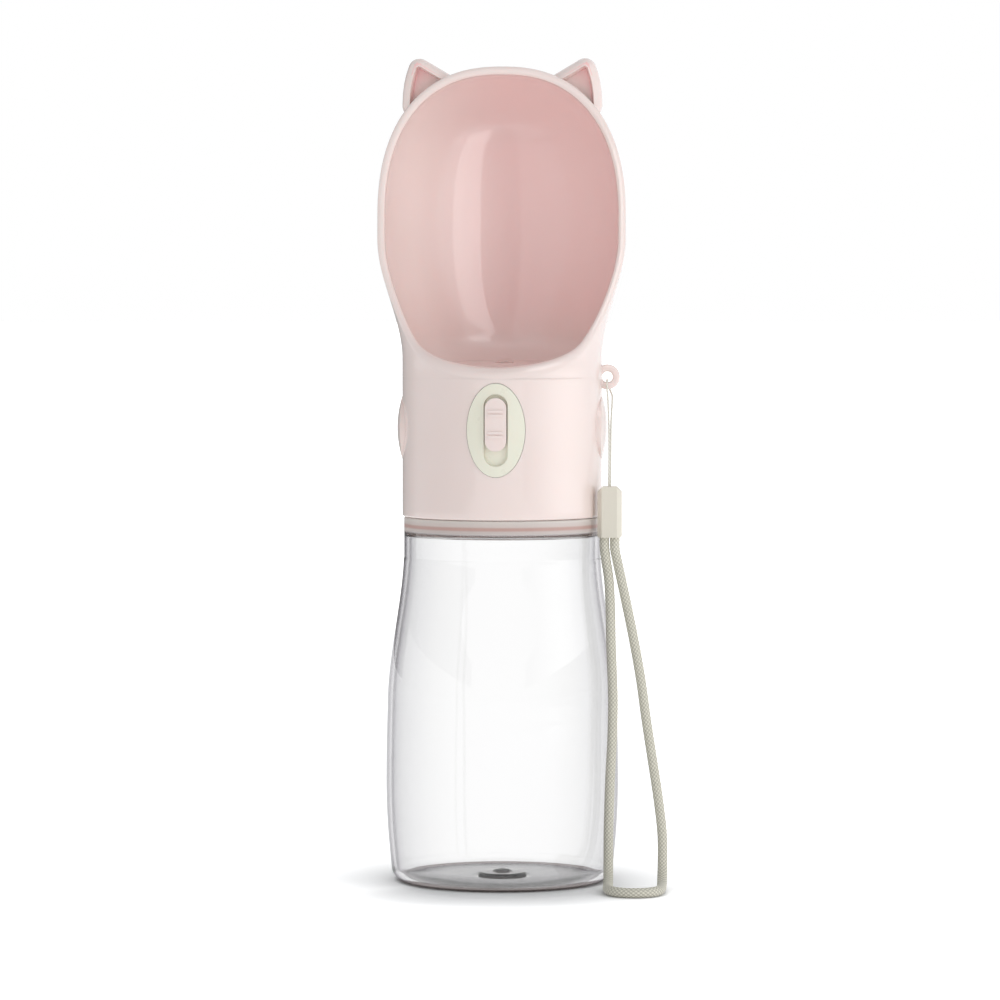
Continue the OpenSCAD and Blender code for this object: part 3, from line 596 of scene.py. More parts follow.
def bottle_profile():
    """The closed section: from the middle of the base out and up, then back down inside."""
    waist = SHOULDER_Z - 12
    dome = [(max(PUNT_R * t, 0.01), PUNT * (1 - t * t)) for t in np.linspace(0, 1, 14)]
    out = dome[:-1] + arc(PUNT_R, 0.35, 0.35, 200, 270, 5)[1:]
    out.append((FOOT_R, 0))
    for a in np.radians(np.arange(5, 90, 5)):
        out.append((FOOT_R + (bottle_side(4) - FOOT_R) * math.sin(a), 4 * (1 - math.cos(a))))
    out += [(bottle_side(z), z) for z in np.arange(4, waist, 1.5)]
    out += [(WAIST_R, z) for z in np.linspace(waist, RIM_TOP - 0.5, 24)]
    out += arc(WAIST_R - 0.5, RIM_TOP - 0.5, 0.5, 15, 90, 6)
    inner_rim = WAIST_R - WALL
    out += arc(inner_rim + 0.3, RIM_TOP - 0.3, 0.3, 90, 180, 5)
    out += arc(inner_rim - 0.5, PLATE_Z + 0.5, 0.5, 0, -90, 6)
    out += arc(NECK_R + 0.5, PLATE_Z + 0.5, 0.5, 270, 180, 6)
    out += [(NECK_R, z) for z in np.arange(PLATE_Z + 1, NECK_TOP - 0.4, 0.25)]
    out += arc(NECK_R - 0.4, NECK_TOP - 0.4, 0.4, 0, 90, 5)
    under, corner, fillet = PLATE_Z - PLATE_T, 3.5, 1.5
    side_z = BASE_T + corner
    floor_r = bottle_side(side_z) - WALL - corner
    gate = PUNT + BASE_T
    inside = [(0.01, gate + GATE_H + 0.8), (GATE_TIP * 0.7, gate + GATE_H + 0.6)]
    inside += [(GATE_TIP, gate + GATE_H), (GATE_R - 0.4, gate + GATE_H - 0.1)]
    inside += [(GATE_R, gate + GATE_H - 0.5), (GATE_R + 0.1, gate - 0.2)]
    inside += [(r, z + BASE_T) for r, z in dome if r > GATE_R + 0.4]
    inside += arc(floor_r, side_z, corner, 278, 352, 10)
    inside += [(bottle_side(z) - WALL, z) for z in np.arange(side_z + 0.5, waist, 1.5)]
    inside += [(inner_rim, z) for z in np.linspace(waist, under - fillet, 6)]
    inside += arc(inner_rim - fillet, under - fillet, fillet, 15, 90, 6)
    inside += arc(NECK_BORE + fillet, under + fillet, fillet, 270, 180, 7)
    inside += arc(NECK_BORE + 0.3, NECK_TOP - 0.3, 0.3, 180, 90, 4)
    return out + inside[::-1]


def thread_height(a, z):
    """Share of the ridge's height at an angle and a height on the thread."""
    t = ((z - SHOULDER_Z) / LEAD - a / (2 * math.pi)) % 1
    return float(np.clip((0.3 - abs(t - 0.5)) / 0.12, 0, 1))


def neck_thread(a, r, z):
    beside_neck = NECK_R - 0.05 < r < NECK_R + 0.2
    if not (beside_neck and SHOULDER_Z + 0.5 < z < NECK_TOP - 0.3):
        return 0
    fade = smooth_step((z - SHOULDER_Z - 0.8) / 1.5) * smooth_step((NECK_TOP - 0.9 - z) / 1.5)
    return RIDGE * fade * thread_height(a, z)


points, faces = turned(bottle_profile(), 200, neck_thread)
bottle = add_mesh("bottle_body_clear", points, faces, clear, 30)
place = points_of(bottle)
from_axis = np.hypot(place[:, 0], place[:, 1])
in_rim = smooth_step((place[:, 2] - PLATE_Z + PLATE_T + 0.3) / 0.5)
tag(bottle, "frost", in_rim * smooth_step((from_axis - NECK_R - 1) / 1.0))
# The gate mark and the foot line are tagged for a dark colour painted in as shade
gate = (from_axis < GATE_R + 0.2) & (place[:, 2] < 5)
foot = (from_axis > PUNT_R - 0.5) & (place[:, 2] < 0.9)
tag(bottle, "gate", gate + foot)
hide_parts("bottle_body")
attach(bottle, "bottle")
print("bottle points", len(points))

# %% [markdown]
# ## Head shell
#
# The solid is a loft of level rings; here the same loft is drawn on a much finer grid, so that
# the wide satin surfaces have no facets. The bowl is taken out of it a wall inside, and the
# moulding's rim gets the full round that the tool leaves there: a strip from the outer skin to
# the inner one that starts and ends in the direction of each.

# %% The outer loft and the bowl
SKIRT_R, CAVITY_R, LIP_Z = 30, 28, 151.4
FLARE_Z, FLARE_END = LIP_Z + 5.6, 36
WIDE_Z, SCOOP_TOP, HALF_W = 199, 45.25, 37.2
TOP_Z, DOME_Z = WIDE_Z + SCOOP_TOP, WIDE_Z + SCOOP_TOP / 2
RIM_Y, RIM_FALL, ROUND = -4, 11, 2.35
SHELL_WALL, FLOOR_SLOPE, FILLET = 2.2, 0.05, 8
BOWL_Z, BOWL_TOP = LIP_Z + 2.3, TOP_Z - SHELL_WALL - 0.2
BUTTON_Z = 136.4
COLUMNS = 200


def scoop_half(z):
    h = np.clip((z - WIDE_Z) / SCOOP_TOP, 0, 1)
    low = SKIRT_R + (HALF_W - SKIRT_R) * smooth_step((z - FLARE_Z) / FLARE_END)
    return np.where(z < WIDE_Z, low, HALF_W * (1 - h**ROUND) ** (1 / ROUND))


def ring_y(z):
    return RIM_Y * smooth_step((z - FLARE_Z) / FLARE_END)


def scoop_deep(z):
    h = np.clip((z - DOME_Z) / (TOP_Z - DOME_Z), 0, 1)
    return (SKIRT_R - ring_y(z)) * np.sqrt(1 - h * h)


def open_y(z):
    return RIM_Y - (SKIRT_R + RIM_Y) * np.exp(-np.maximum(z - LIP_Z, 0) / RIM_FALL)


def outer_point(z, a):
    return np.array([scoop_half(z) * np.sin(a), ring_y(z) + scoop_deep(z) * np.cos(a), z])


def outer_end(z):
    """Angle from the back at which the outer ring meets the opening."""
    c = np.clip((open_y(z) - ring_y(z)) / max(scoop_deep(z), 1e-6), -1, 1)
    return min(math.pi * (1 - 1 / COLUMNS), math.acos(c))


def inner_point(z, a, inset=0.0):
    """A point of the bowl; z is the ring's own height, before the floor's slope lifts it."""
    h = np.clip((z - WIDE_Z) / (BOWL_TOP - WIDE_Z), 0, 1)
    wide = scoop_half(min(z, WIDE_Z - 1e-6)) - SHELL_WALL
    wide = wide * (1 - h**ROUND) ** (1 / ROUND)
    h = np.clip((z - DOME_Z) / (BOWL_TOP - DOME_Z), 0, 1)
    deep = (SKIRT_R - SHELL_WALL - ring_y(z)) * np.sqrt(1 - h * h)
    lean = FLOOR_SLOPE * (1 - smooth_step((z - BOWL_Z - 3) / 16))
    back = abs((a + math.pi) % (2 * math.pi) - math.pi)
    f = (0.7 + 0.3 * smooth_step((math.pi - back) / math.radians(70))) * inset
    y = ring_y(z) + (deep - f) * np.cos(a)
    return np.array([(wide - f) * np.sin(a), y, z + lean * (y + CAVITY_R)])


def bowl_skin(z, a):
    """A point of the bowl with its fillet, z being the ring's own height."""
    u = min(max((z - BOWL_Z) / FILLET, 0), 1)
    return inner_point(z, a, FILLET * (1 - math.sqrt(1 - (1 - u) ** 2)))


def outer_loft():
    """The head's outer skin, filled in behind the opening, with a rounded lower edge."""
    edge = [(SKIRT_Z + 0.6 * (1 - math.cos(t)), 0.6 * (1 - math.sin(t)))
            for t in np.radians(np.arange(0, 90, 22.5))]
    rows = edge + [(z, 0) for z in np.arange(SKIRT_Z + 0.6, LIP_Z - 0.5, 1.6)]
    rows += [(LIP_Z - RIM_FALL * math.log(k), 0) for k in np.arange(1, 0.1, -0.0225)]
    rows += [(z, 0) for z in np.arange(rows[-1][0] + 1.2, DOME_Z, 1.2)]
    rows += [(DOME_Z + (TOP_Z - DOME_Z) * math.sin(t), 0) for t in np.radians(np.arange(0, 88, 2))]
    rows.append((TOP_Z - 0.01, 0))
    points = []
    for z, less in rows:
        end = outer_end(z)
        for a in np.linspace(end, -end, COLUMNS):
            p = outer_point(z, a)
            if less:
                p[:2] *= (SKIRT_R - less) / SKIRT_R
            points.append(p)
    return points, ring_faces(len(rows), COLUMNS, closed_ends=True)


def bowl_loft():
    """The hollow of the bowl as a body, with a fillet round its floor."""
    rows = [(BOWL_Z + FILLET * (1 - math.cos(t)), FILLET * (1 - math.sin(t)))
            for t in np.radians(np.arange(0, 90, 6))]
    rows += [(z, 0) for z in np.arange(BOWL_Z + FILLET, DOME_Z, 1.5)]
    rows += [(DOME_Z + (BOWL_TOP - DOME_Z) * math.sin(t), 0)
             for t in np.radians(np.arange(0, 88, 2.5))]
    points = []
    for z, inset in rows:
        points += [inner_point(z, -a, inset) for a in full_circle(COLUMNS)]
    return points, ring_faces(len(rows), COLUMNS, closed_ends=True)


def cylinder(radius, low, high, steps, place=(0, 0)):
    """An upright tool body for a cut or a join."""
    points = []
    for z in (low, high):
        for a in full_circle(steps):
            points.append((place[0] + radius * math.cos(a), place[1] + radius * math.sin(a), z))
    return add_mesh("tool", points, ring_faces(2, steps, closed_ends=True), None)


def hull_of(points):
    """The convex body round a cloud of points."""
    made = bmesh.new()
    for p in points:
        made.verts.new(tuple(c * MM for c in p))
    found = bmesh.ops.convex_hull(made, input=made.verts)
    loose = [g for g in found["geom_interior"] if isinstance(g, bmesh.types.BMVert)]
    bmesh.ops.delete(made, geom=loose, context="VERTS")
    bmesh.ops.recalc_face_normals(made, faces=made.faces)
    mesh = bpy.data.meshes.new("tool")
    made.to_mesh(mesh)
    made.free()
    obj = bpy.data.objects.new("tool", mesh)
    scene.collection.objects.link(obj)
    return obj


def ball(centre, radius):
    """Points all over a ball."""
    points, rows = [], 24
    for t in np.linspace(0, math.pi, rows):
        for a in np.linspace(0, 2 * math.pi, 2 * rows, endpoint=False):
            points.append((
                centre[0] + radius * math.sin(t) * math.cos(a),
                centre[1] + radius * math.sin(t) * math.sin(a),
                centre[2] + radius * math.cos(t),
            ))
    return points


print("bowl's floor and top", BOWL_Z, round(BOWL_TOP, 2))


# %% Ears, pads and eyelet
EAR_X, EAR_UP, EAR_DEEP, EAR_TIP = 24.8, 2.6, 9, 3.4
# The last is how strongly the ears' hollows are painted with the deeper pink as shade
EAR_BAND, EAR_HOLLOW, EAR_PAINTED_SHADE = 2.2, 4, 1.9
EAR_FRONT = RIM_Y + 0.8
EYELET_X, EYELET_Z = 31.6, SKIRT_Z + 41.8
PAD_R, PAD_PROUD = 9.5, 1.5
# The ear's outline, as the middles of the balls that round its corners
EAR_CORNERS = [
    (EAR_X, TOP_Z + EAR_UP - EAR_TIP),
    (EAR_X + 0.75, TOP_Z - 3),
    (EAR_X + 1.3, TOP_Z - 5.4),
    (EAR_X + 1.65, TOP_Z - 8),
    (EAR_X + 1.8, TOP_Z - 11.5),
    (EAR_X - 10.6, TOP_Z - 7.1),
]


def ear(side):
    """A rounded ear with a hollow front."""
    front, back = EAR_FRONT + EAR_TIP, EAR_FRONT + EAR_DEEP - EAR_TIP
    corners = [(side * x, z) for x, z in EAR_CORNERS]
    cloud = []
    for x, z in corners:
        cloud += ball((x, front, z), EAR_TIP)
    cloud += ball((side * (EAR_X - 2), back, TOP_Z - 5), EAR_TIP)
    cloud += ball((side * (EAR_X - 4), back, TOP_Z - 13), EAR_TIP)
    made = hull_of(cloud)
    cup = []
    for x, z in corners:
        for y, r in ((EAR_FRONT - 1, EAR_TIP - EAR_BAND), (EAR_FRONT + EAR_HOLLOW, 0.3)):
            cup += [
                (x + r * math.cos(a), y, z + r * math.sin(a))
                for a in full_circle(32)
            ]
    boolean(made, hull_of(cup), "DIFFERENCE")
    return made


def side_pad(side):
    """A low dome on the skirt's side, its foot drawn in to a soft edge."""
    ball_r = (PAD_R**2 + PAD_PROUD**2) / (2 * PAD_PROUD)
    points = []
    rings = [(PAD_R, -3.0), (PAD_R, 0.0)]
    for t in np.linspace(1, 0.02, 14):
        r = PAD_R * t
        rings.append((r, PAD_PROUD - (ball_r - math.sqrt(ball_r**2 - r * r))))
    for r, out in rings:
        for a in full_circle(96):
            points.append((SKIRT_R + out, r * math.cos(a), BUTTON_Z + r * math.sin(a)))
    faces = ring_faces(len(rings), 96, closed_ends=True)
    if side < 0:
        points = [(-x, y, z) for x, y, z in points]
        faces = [f[::-1] for f in faces]
    return add_mesh("tool", points, faces, None)


def eyelet_ring():
    """The eyelet, turned round its own hole with rounded edges."""
    half, inner, outer, soft = 1.3, 1.6, 3.75, 0.75
    profile = []
    for cx, cy, start in (
        (outer - soft, half - soft, 0),
        (inner + soft, half - soft, 90),
        (inner + soft, soft - half, 180),
        (outer - soft, soft - half, 270),
    ):
        profile += arc(cx, cy, soft, start, start + 90, 7)
    points = []
    for a in full_circle(72):
        for r, y in profile:
            points.append((EYELET_X + r * math.cos(a), y, EYELET_Z + r * math.sin(a)))
    return add_mesh("tool", points, ring_faces(72, len(profile), closed_loop=True), None)


print("ear's middle", EAR_X, round(TOP_Z + EAR_UP, 2), "eyelet", EYELET_X, round(EYELET_Z, 1))


# %% [markdown]
# The rim's two edges are found where the opening's side line meets the outer skin and the
# bowl. Both are star-shaped seen from the front, so points at equal angles belong together.


# %% The rim
def rim_curves(count=181):
    """The outer and the inner edge of the opening's right half, from its foot to its top."""
    outer, inner = [], []
    for z in np.concatenate([
        LIP_Z - RIM_FALL * np.log(np.linspace(1, 0.02, 120)),
        np.linspace(194.5, 235, 40),
        TOP_Z - (TOP_Z - 235) * np.linspace(0.97, 0.0, 60) ** 3,
    ]):
        end = outer_end(z)
        outer.append(outer_point(z, end) if z > LIP_Z else np.array([0, -SKIRT_R, LIP_Z]))
    low, high = BOWL_Z, BOWL_Z + FILLET
    for _ in range(50):
        z = (low + high) / 2
        p = bowl_skin(z, math.pi)
        low, high = (z, high) if p[1] > open_y(p[2]) else (low, z)
    first = high
    for z in np.concatenate([
        first + (168 - first) * np.linspace(0, 1, 90) ** 2, np.linspace(169, 232, 70),
        BOWL_TOP - (BOWL_TOP - 232) * np.linspace(0.97, 0.0, 60) ** 3,
    ]):
        low, high = 0.0, math.pi
        for _ in range(50):
            a = (low + high) / 2
            p = bowl_skin(z, a)
            low, high = (a, high) if p[1] > open_y(p[2]) else (low, a)
        a = (low + high) / 2
        inner.append(np.append(bowl_skin(z, a), (z, a)))
    angles = np.linspace(0, math.pi, count)

    def at_angles(curve):
        curve = np.array(curve)
        phi = np.arctan2(curve[:, 0], -(curve[:, 2] - 195))
        order = np.argsort(phi)
        return np.stack(
            [np.interp(angles, phi[order], curve[order, k]) for k in range(curve.shape[1])], 1
        )

    return at_angles(outer), at_angles(inner)


def way_out(curve, i, skin, z, a, top):
    """Unit direction in which a skin runs over its edge, square to the edge itself."""
    along = curve[min(i + 1, len(curve) - 1)][:3] - curve[max(i - 1, 0)][:3]
    normal = np.cross(skin(z, a + 1e-4) - skin(z, a - 1e-4), skin(z + 0.01, a) - skin(z - 0.01, a))
    if top or np.linalg.norm(normal) < 1e-12:
        normal = np.array([0, 0, 1.0])
    to = np.cross(along, normal)
    to /= np.linalg.norm(to)
    slope = (open_y(curve[i][2] + 0.01) - open_y(curve[i][2])) / 0.01
    return to if to[1] - slope * to[2] < 0 else -to


def rim_strip(sides=13):
    """The rounded rim between the two edges, both halves."""
    outer, inner = rim_curves()
    rows = []
    for i in range(len(outer)):
        po, pi_ = outer[i], inner[i][:3]
        z = min(max(po[2], LIP_Z + 0.05), TOP_Z - 0.3)
        to = way_out(outer, i, outer_point, z, outer_end(z), po[2] > TOP_Z - 0.3)
        z, a = min(inner[i][3], BOWL_TOP - 0.3), inner[i][4]
        ti = way_out(inner, i, bowl_skin, z, a, inner[i][3] > BOWL_TOP - 0.3)
        reach = 0.52 * np.linalg.norm(pi_ - po)
        row = []
        for t in np.linspace(0, 1, sides):
            b = [(1 - t) ** 3, 3 * t * (1 - t) ** 2, 3 * t * t * (1 - t), t**3]
            from_outer = b[0] * po + b[1] * (po + reach * to)
            row.append(from_outer + b[2] * (pi_ + reach * ti) + b[3] * pi_)
        rows.append(row)
    rows = np.array(rows)
    left = rows[-2:0:-1] * np.array([-1, 1, 1])
    loop = np.concatenate([rows, left])
    return loop.reshape(-1, 3), ring_faces(len(loop), sides, closed_loop=True, wrap=False)


POST_AWAY, POST_R, POST_LOW = 25.6, 2.6, 125.7
PILOT_R, PILOT_LOW, PILOT_HIGH = 1.08, 124, 137.2
POSTS = [
    (POST_AWAY * math.cos(a), POST_AWAY * math.sin(a)) for a in np.radians([45, 135, 215, 325])
]
OUTLET_Y, COLLAR_R, SOCKET_R, OUTLET_R = 12.3, 5.8, 3.7, 2.75
CEILING = 152.6
HOLE_HALF_W, HOLE_HALF_H = 8.7, 13.9

shell = add_mesh("head_shell_moulding", *outer_loft(), pink, 35)
for side in (-1, 1):
    boolean(shell, ear(side), "UNION")
    boolean(shell, side_pad(side), "UNION")
boolean(shell, eyelet_ring(), "UNION")
boolean(shell, cylinder(CAVITY_R, SKIRT_Z - 1, LIP_Z + 0.2, 200), "DIFFERENCE")
boolean(shell, add_mesh("tool", *bowl_loft(), None), "DIFFERENCE")
for place in POSTS:
    boolean(shell, cylinder(POST_R, POST_LOW, 152.4, 48, place), "UNION")
    boolean(shell, cylinder(PILOT_R, PILOT_LOW, PILOT_HIGH, 32, place), "DIFFERENCE")
boolean(shell, cylinder(COLLAR_R, 147.6, CEILING, 64, (0, OUTLET_Y)), "UNION")
boolean(shell, cylinder(SOCKET_R, 146, CEILING, 64, (0, OUTLET_Y)), "DIFFERENCE")
boolean(shell, cylinder(OUTLET_R, 150, 164, 64, (0, OUTLET_Y)), "DIFFERENCE")
hole = cylinder(1, 24, 31, 160)
hole.data.transform(Matrix.Rotation(math.pi / 2, 4, "X"))
hole.data.transform(Matrix.Diagonal((HOLE_HALF_W, 1, HOLE_HALF_H, 1)))
hole.data.transform(Matrix.Translation((0, 0, BUTTON_Z * MM)))
boolean(shell, hole, "DIFFERENCE")
shell.data.shade_smooth()
shell.data.set_sharp_from_angle(angle=math.radians(35))
shell.data.materials.clear()
shell.data.materials.append(pink)

# The bowl and the ears' hollows get the deeper tone as painted shade, less towards the bowl's lit
# left side and its floor, strongest in the ears' hollows
x, y, z = points_of(shell).T
across = (x / np.maximum(scoop_half(z), 0.01)) ** 2
across += ((y - ring_y(z)) / np.maximum(scoop_deep(z), 0.01)) ** 2
in_bowl = smooth_step((0.985 - across) / 0.04) * (z > LIP_Z + 1)
in_ear = (across > 1) & (y > EAR_FRONT + 0.3) & (y < EAR_FRONT + EAR_HOLLOW + 0.1)
for (x0, z0), (x1, z1) in zip(EAR_CORNERS, EAR_CORNERS[1:] + EAR_CORNERS[:1]):
    edge = np.array([x1 - x0, z1 - z0]) / math.hypot(x1 - x0, z1 - z0)
    in_ear &= (np.abs(x) - x0) * -edge[1] + (z - z0) * edge[0] < 1.6
shade = 1.1 * smooth_step((x + 36) / 42) * (0.3 + 0.7 * smooth_step((z - 156) / 20))
tag(shell, "deep", np.maximum(in_bowl * shade, EAR_PAINTED_SHADE * in_ear))
print("points in the deeper tone", int(in_bowl.sum()), int(in_ear.sum()))
rim = add_mesh("head_shell_rim", *rim_strip(), pink, 60)
for piece in (shell, rim):
    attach(piece, "head")
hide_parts("head_shell")
print("shell points", len(shell.data.vertices), "rim points", len(rim.data.vertices))

# %% [markdown]
# ## Screw collar, screws and spring
#
# The collar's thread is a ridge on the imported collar's bore, half a pitch from the neck's, so
# that the two run past each other as the head turns and rises. Each screw gets its cross
# recess and its thread, and the spring is drawn as round wire.


# %% Collar thread, screws and spring
def collar_thread():
    """The ridge in the collar's bore, tapered at both ends."""
    bore, deep, low, high = 21.4, 0.95, 112.2, 121.6
    steps = int((high - low) / LEAD * 120)
    points = []
    for s in range(steps + 1):
        z = low + (high - low) * s / steps
        a = 2 * math.pi * ((z - SHOULDER_Z) / LEAD)
        fade = float(smooth_step(s / 25) * smooth_step((steps - s) / 25))
        h = deep * fade
        for r, dz in ((bore + 0.3, -0.9), (bore - h, -0.45), (bore - h, 0.45), (bore + 0.3, 0.9)):
            points.append((r * math.cos(a), r * math.sin(a), z + dz))
    return add_mesh(
        "screw_collar_thread", points, ring_faces(steps + 1, 4, closed_ends=True), collar_pink, 30
    )


def one_screw(head_d, head_h, shank_d, length):
    """A screw along +Z from its head's outer face at 0: cross recess, dome edge and thread."""
    head_r, shank_r, pitch = head_d / 2, shank_d / 2, shank_d * 0.42
    profile = [(0.01, 0), (head_r * 0.7, 0)]
    for t in np.radians(np.linspace(90, 0, 6)):
        r = head_r * 0.7 + head_r * 0.3 * math.cos(t)
        profile.append((r, head_h * 0.45 * (1 - math.sin(t))))
    profile += [(head_r, head_h), (shank_r, head_h + 0.02)]
    zs = np.arange(head_h + 0.1, length - shank_r * 0.8, pitch / 6)
    profile += [(shank_r - 0.01, z) for z in zs]
    profile += [(shank_r * 0.3, length), (0.01, length)]

    def thread(a, r, z):
        if not (head_h + 0.3 < z < length - shank_r and r < shank_r):
            return 0
        t = (z / pitch - a / (2 * math.pi)) % 1
        return -0.16 * shank_d * min(1, abs(t - 0.5) * 2.4)

    points, faces = turned(profile, 40, thread)
    screw = add_mesh("tool", points, faces, steel, 30)
    for turn in (0, math.pi / 2):
        w, l, deep = head_d * 0.09, head_d * 0.31, head_h * 0.75
        corners = [
            (x, y, z)
            for z, k in ((-0.2, 1.0), (deep, 0.45)) for x in (-l * k, l * k) for y in (-w, w)
        ]
        bar = hull_of(corners)
        bar.data.transform(Matrix.Rotation(turn, 4, "Z"))
        boolean(screw, bar, "DIFFERENCE")
    return screw


def screws(name, node_name, places, sizes, body):
    """A group of like screws.

    places: a point for each head's outer face, and the direction in which the shank points.
    sizes: the head's width and height, the shank's width and the whole length.
    """
    first = one_screw(*sizes)
    points, faces = [], []
    for (x, y, z), direction in places:
        turn = Vector((0, 0, 1)).rotation_difference(Vector(direction)).to_matrix()
        base = len(points)
        for v in first.data.vertices:
            p = turn @ v.co / MM
            points.append((p.x + x, p.y + y, p.z + z))
        faces += [tuple(base + i for i in p.vertices) for p in first.data.polygons]
    bpy.data.objects.remove(first)
    made = add_mesh(name, points, faces, steel, 30)
    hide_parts(node_name)
    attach(made, body)
    print(node_name, len(places))


thread_ridge = collar_thread()
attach(thread_ridge, "head")
screws("collar_screws_crosshead", "collar_screws",
       [((x, y, 121.9), (0, 0, 1)) for x, y in POSTS], (3.8, 1.4, 2.1, 12.9), "head")
screws("housing_screws_crosshead", "housing_screws",
       [((s * 9.3, 3, 139.2), (0, 0, -1)) for s in (-1, 1)], (4.2, 1.5, 2.0, 12.0), "head")
screws("bridge_screws_crosshead", "bridge_screws",
       [((s * 6.2, -17.6, BUTTON_Z), (0, -1, 0)) for s in (-1, 1)], (2.6, 1.0, 1.3, 6.9), "button")

SPRING_R, WIRE, TURNS = 2.9, 0.5, 4
SPRING_LOW, SPRING_HIGH = 16.39, 22.15
t = np.linspace(0, 1, TURNS * 40 + 1)
coil = np.stack([
    SPRING_R * np.cos(2 * math.pi * TURNS * t),
    SPRING_LOW + (SPRING_HIGH - SPRING_LOW) * t,
    BUTTON_Z + SPRING_R * np.sin(2 * math.pi * TURNS * t),
], 1)
ring, _ = swept(coil, t, lambda angle, length: WIRE / 2 + 0 * angle, 12)
spring = add_mesh(
    "return_spring_wire", ring, ring_faces(len(coil), 12, closed_ends=True), steel, 60
)
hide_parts("return_spring")
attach(spring, "head")
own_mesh(spring)
print("thread ridge points", len(thread_ridge.data.vertices), "spring turns", TURNS)

# %% [markdown]
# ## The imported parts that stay
#
# The button, the slider, the bead and the valve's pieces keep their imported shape; small edge
# roundings and the finishes are added.

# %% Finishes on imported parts
FINISHES = {
    "screw_collar": (collar_pink, 0.15),
    "water_button": (cream, 0.15),
    "lock_slider": (pink, 0.1),
    "cord_bead": (beige, 0.3),
    "push_bridge": (white, 0.2),
    "lock_clip": (white, 0.15),
    "valve_housing": (white, 0.12),
    "valve_spool": (white, 0.08),
    "spring_cap": (white, 0.15),
    "neck_gasket": (rubber, 0.2),
    "inlet_seal": (rubber, 0),
    "outlet_seal": (rubber, 0),
    "seal_front": (rubber, 0),
    "seal_middle": (rubber, 0),
    "seal_rear": (rubber, 0),
}
for node_name, (material, edge) in FINISHES.items():
    packed = nodes[node_name]
    packed.data.materials.clear()
    packed.data.materials.append(material)
    if edge:
        soften(packed, edge)
print("packed parts finished", len(FINISHES))

# %% [markdown]
# ## Table and light
#
# A pale table with a painted shadow where the object stands close over it, strongest in
# front, white all round, a large softbox from the right and a weaker one from the front. The
# cards are seen by reflections only: dim ones on the left, a bright one on the right, and the
# window that the bowl mirrors.


# %% Table, background and lights
TABLE_GLOW, TABLE_SEEN = 0.56, 0.9
TABLE_TONE = 0.8
# The painted shadow round the object: how far it reaches, and its power in front and on the other
# sides
SHADOW_PAINT_REACH = 45
SHADOW_PAINT_FRONT, SHADOW_PAINT_SIDES = 6, 2.2
# Seen through the bottle the table is white but for a painted shadow under the foot
UNDER_PAINTED_SHADOW, UNDER_FROM, UNDER_TO = 0.03, 27, 30.5

table, tree, out = empty_material("table")
shader = tree.nodes.new("ShaderNodeBsdfPrincipled")
ray = tree.nodes.new("ShaderNodeLightPath")
painted_shadow = tree.nodes.new("ShaderNodeAmbientOcclusion")
fill(painted_shadow, Distance=SHADOW_PAINT_REACH * MM)
painted_shadow.samples = 8
level = compute(
    tree, "MULTIPLY_ADD", ray.outputs["Is Camera Ray"], TABLE_SEEN - TABLE_GLOW, TABLE_GLOW
)
x, y = coordinates(tree)[:2]
square = compute(tree, "MULTIPLY", y, y)
radius = compute(tree, "SQRT", compute(tree, "MULTIPLY_ADD", x, x, square))
# Painted shadow: the table's glow is the occlusion to a power, higher straight in front
power = remap(
    tree, compute(tree, "DIVIDE", y, radius), SHADOW_PAINT_FRONT, SHADOW_PAINT_SIDES, -0.95, -0.6
)
glow = compute(tree, "MULTIPLY", compute(tree, "POWER", painted_shadow.outputs["AO"], power), level)
fill(
    shader, Base_Color=(TABLE_TONE, TABLE_TONE, TABLE_TONE, 1), Roughness=0.7,
    Specular_IOR_Level=0.2, Emission_Color=(1, 1, 1, 1), Emission_Strength=glow,
)
through = tree.nodes.new("ShaderNodeEmission")
fill(through, Strength=remap(tree, radius, UNDER_PAINTED_SHADOW, 1.0, UNDER_FROM * MM, UNDER_TO * MM))
switch(tree, ray.outputs["Is Transmission Ray"], shader, through, out)
FAR = 60000
floor = add_mesh(
    "table", [(-FAR, -FAR, 0), (FAR, -FAR, 0), (FAR, FAR, 0), (-FAR, FAR, 0)],
    [(0, 1, 2, 3)], table,
)

world = bpy.data.worlds.new("studio")
world.use_nodes = True
scene.world = world
tree = world.node_tree
tree.nodes.clear()
out = tree.nodes.new("ShaderNodeOutputWorld")
seen = tree.nodes.new("ShaderNodeBackground")
fill(seen, Color=(1, 1, 1, 1), Strength=1)
around = tree.nodes.new("ShaderNodeBackground")
fill(around, Color=(0.96, 0.98, 1, 1), Strength=0.6)
ray = tree.nodes.new("ShaderNodeLightPath")
white_for = compute(tree, "MAXIMUM", ray.outputs["Is Camera Ray"], ray.outputs["Is Glossy Ray"])
white_for = compute(tree, "MAXIMUM", white_for, ray.outputs["Is Transmission Ray"])
switch(tree, white_for, around, seen, out)


def softbox(name, place, aim, wide, high, power):
    """A rectangular lamp, in metres and watts, that shines from place towards aim."""
    data = bpy.data.lights.new(name, "AREA")
    data.shape = "RECTANGLE"
    data.size, data.size_y = wide, high
    data.energy = power
    obj = bpy.data.objects.new(name, data)
    obj.location = place
    obj.rotation_euler = (Vector(aim) - Vector(place)).to_track_quat("-Z", "Y").to_euler()
    scene.collection.objects.link(obj)
    return obj


for lamp in (
    softbox("key", (0.95, -0.55, 0.45), (0, 0, 0.15), wide=0.5, high=0.9, power=3.05),
    softbox("front", (0.15, -0.85, 0.8), (0, 0, 0.17), wide=0.6, high=0.6, power=0.5),
):
    lamp.visible_glossy = False
    lamp.visible_transmission = False


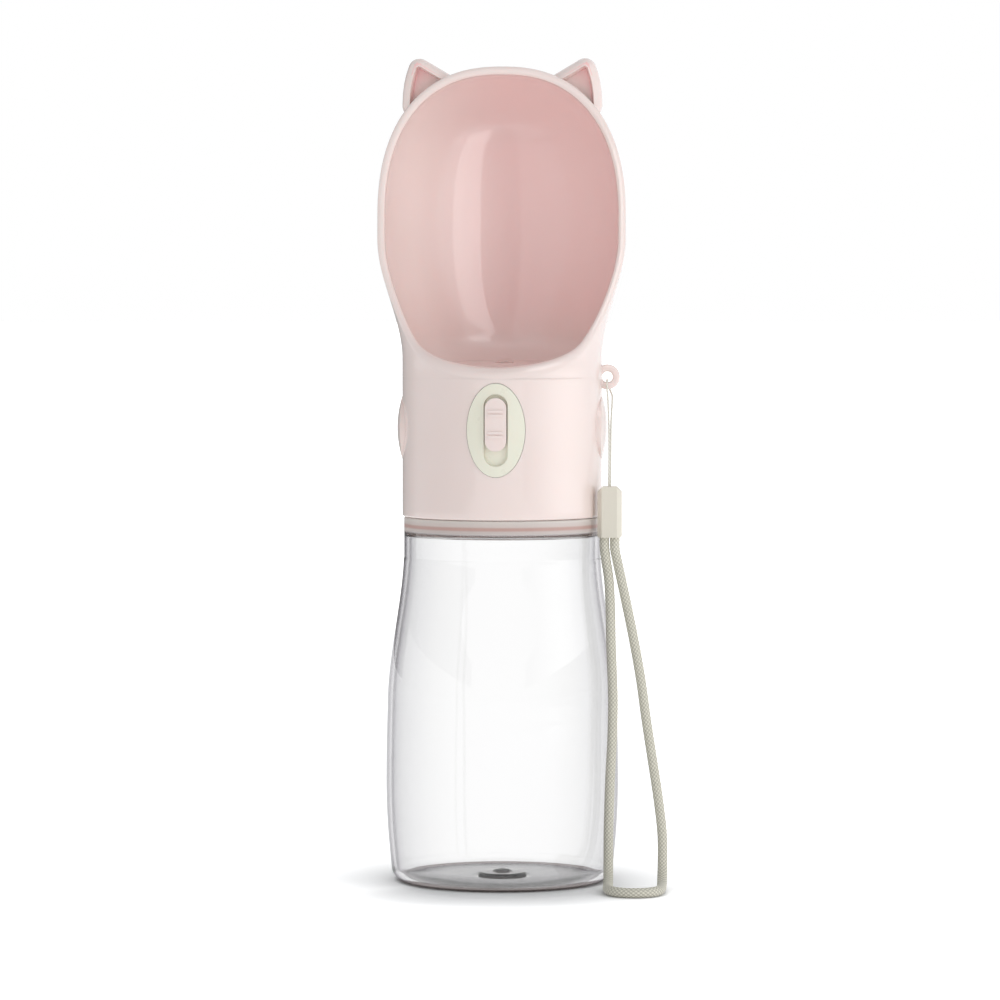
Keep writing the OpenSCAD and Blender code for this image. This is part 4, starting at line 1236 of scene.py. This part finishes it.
def glow_card(name, points, centre, spread, strength):
    """A card that only reflections see.

    It is brightest along one upright line and half as bright at the distance spread from it,
    both in metres.
    """
    material, tree, out = empty_material(name)
    light = tree.nodes.new("ShaderNodeEmission")
    fall = 1.0
    for place, middle in zip(coordinates(tree)[:2], centre):
        away = compute(tree, "DIVIDE", compute(tree, "SUBTRACT", place, middle), spread)
        fall = compute(tree, "MULTIPLY_ADD", away, away, fall)
    fill(light, Strength=compute(tree, "DIVIDE", strength, fall))
    tree.links.new(light.outputs[0], out.inputs["Surface"])
    card = add_mesh(name, points, [tuple(range(len(points)))], material)
    card.visible_camera = False
    card.visible_diffuse = False
    card.visible_transmission = False
    card.visible_shadow = False


def upright(x0, y0, x1, y1, low, high):
    """The corners of a card that stands on edge."""
    return [(x0, y0, low), (x1, y1, low), (x1, y1, high), (x0, y0, high)]


CARD_X, CARD_FRONT, CARD_BACK = 230, -460, 95
CARD_LOW, CARD_HIGH = 95, 150
EVEN = 10
for name, x, bright_y, spread, strength in (
    ("card_left", -CARD_X, 0.095, 0.2, 0.5),
    ("card_right", CARD_X, -0.065, 0.15, 2.6),
):
    corners = upright(x, CARD_FRONT, x, CARD_BACK, CARD_LOW, CARD_HIGH)
    glow_card(name, corners, (x * MM, bright_y), spread, strength)
glow_card("card_back_left", upright(-CARD_X, CARD_BACK, -90, 330, 62, 400), (0, 0), EVEN, 0.25)

# The window in front of the bowl, a lit pane and a dim one with a wavy edge between them
PANE_Y = -40
PANE_SPLIT = [
    (10.7, 164.7), (14.5, 168.5), (17.9, 174.6), (19.2, 180.6), (18.2, 186.5), (17.3, 196.7),
    (17.6, 206), (19.1, 214.5), (21, 225),
]
LIGHT_PANE = PANE_SPLIT + [
    (57, 225), (54.2, 204.7), (54.3, 194), (58, 188), (59, 184), (56, 178), (50.3, 174.3),
    (35.1, 168.8), (20.7, 165.6),
]
DARK_PANE = PANE_SPLIT + [
    (-15, 225), (-14.2, 199.9), (-14.4, 187.3), (-14.6, 177.7), (-13.5, 171.2), (-10.8, 167.3),
    (-8.2, 164.1), (1.5, 164.2),
]
for name, outline, strength in (("pane_light", LIGHT_PANE, 3.0), ("pane_dark", DARK_PANE, 0.3)):
    glow_card(name, [(x, PANE_Y, z) for x, z in outline], (0, 0), EVEN, strength)
scene.view_settings.view_transform = "Standard"
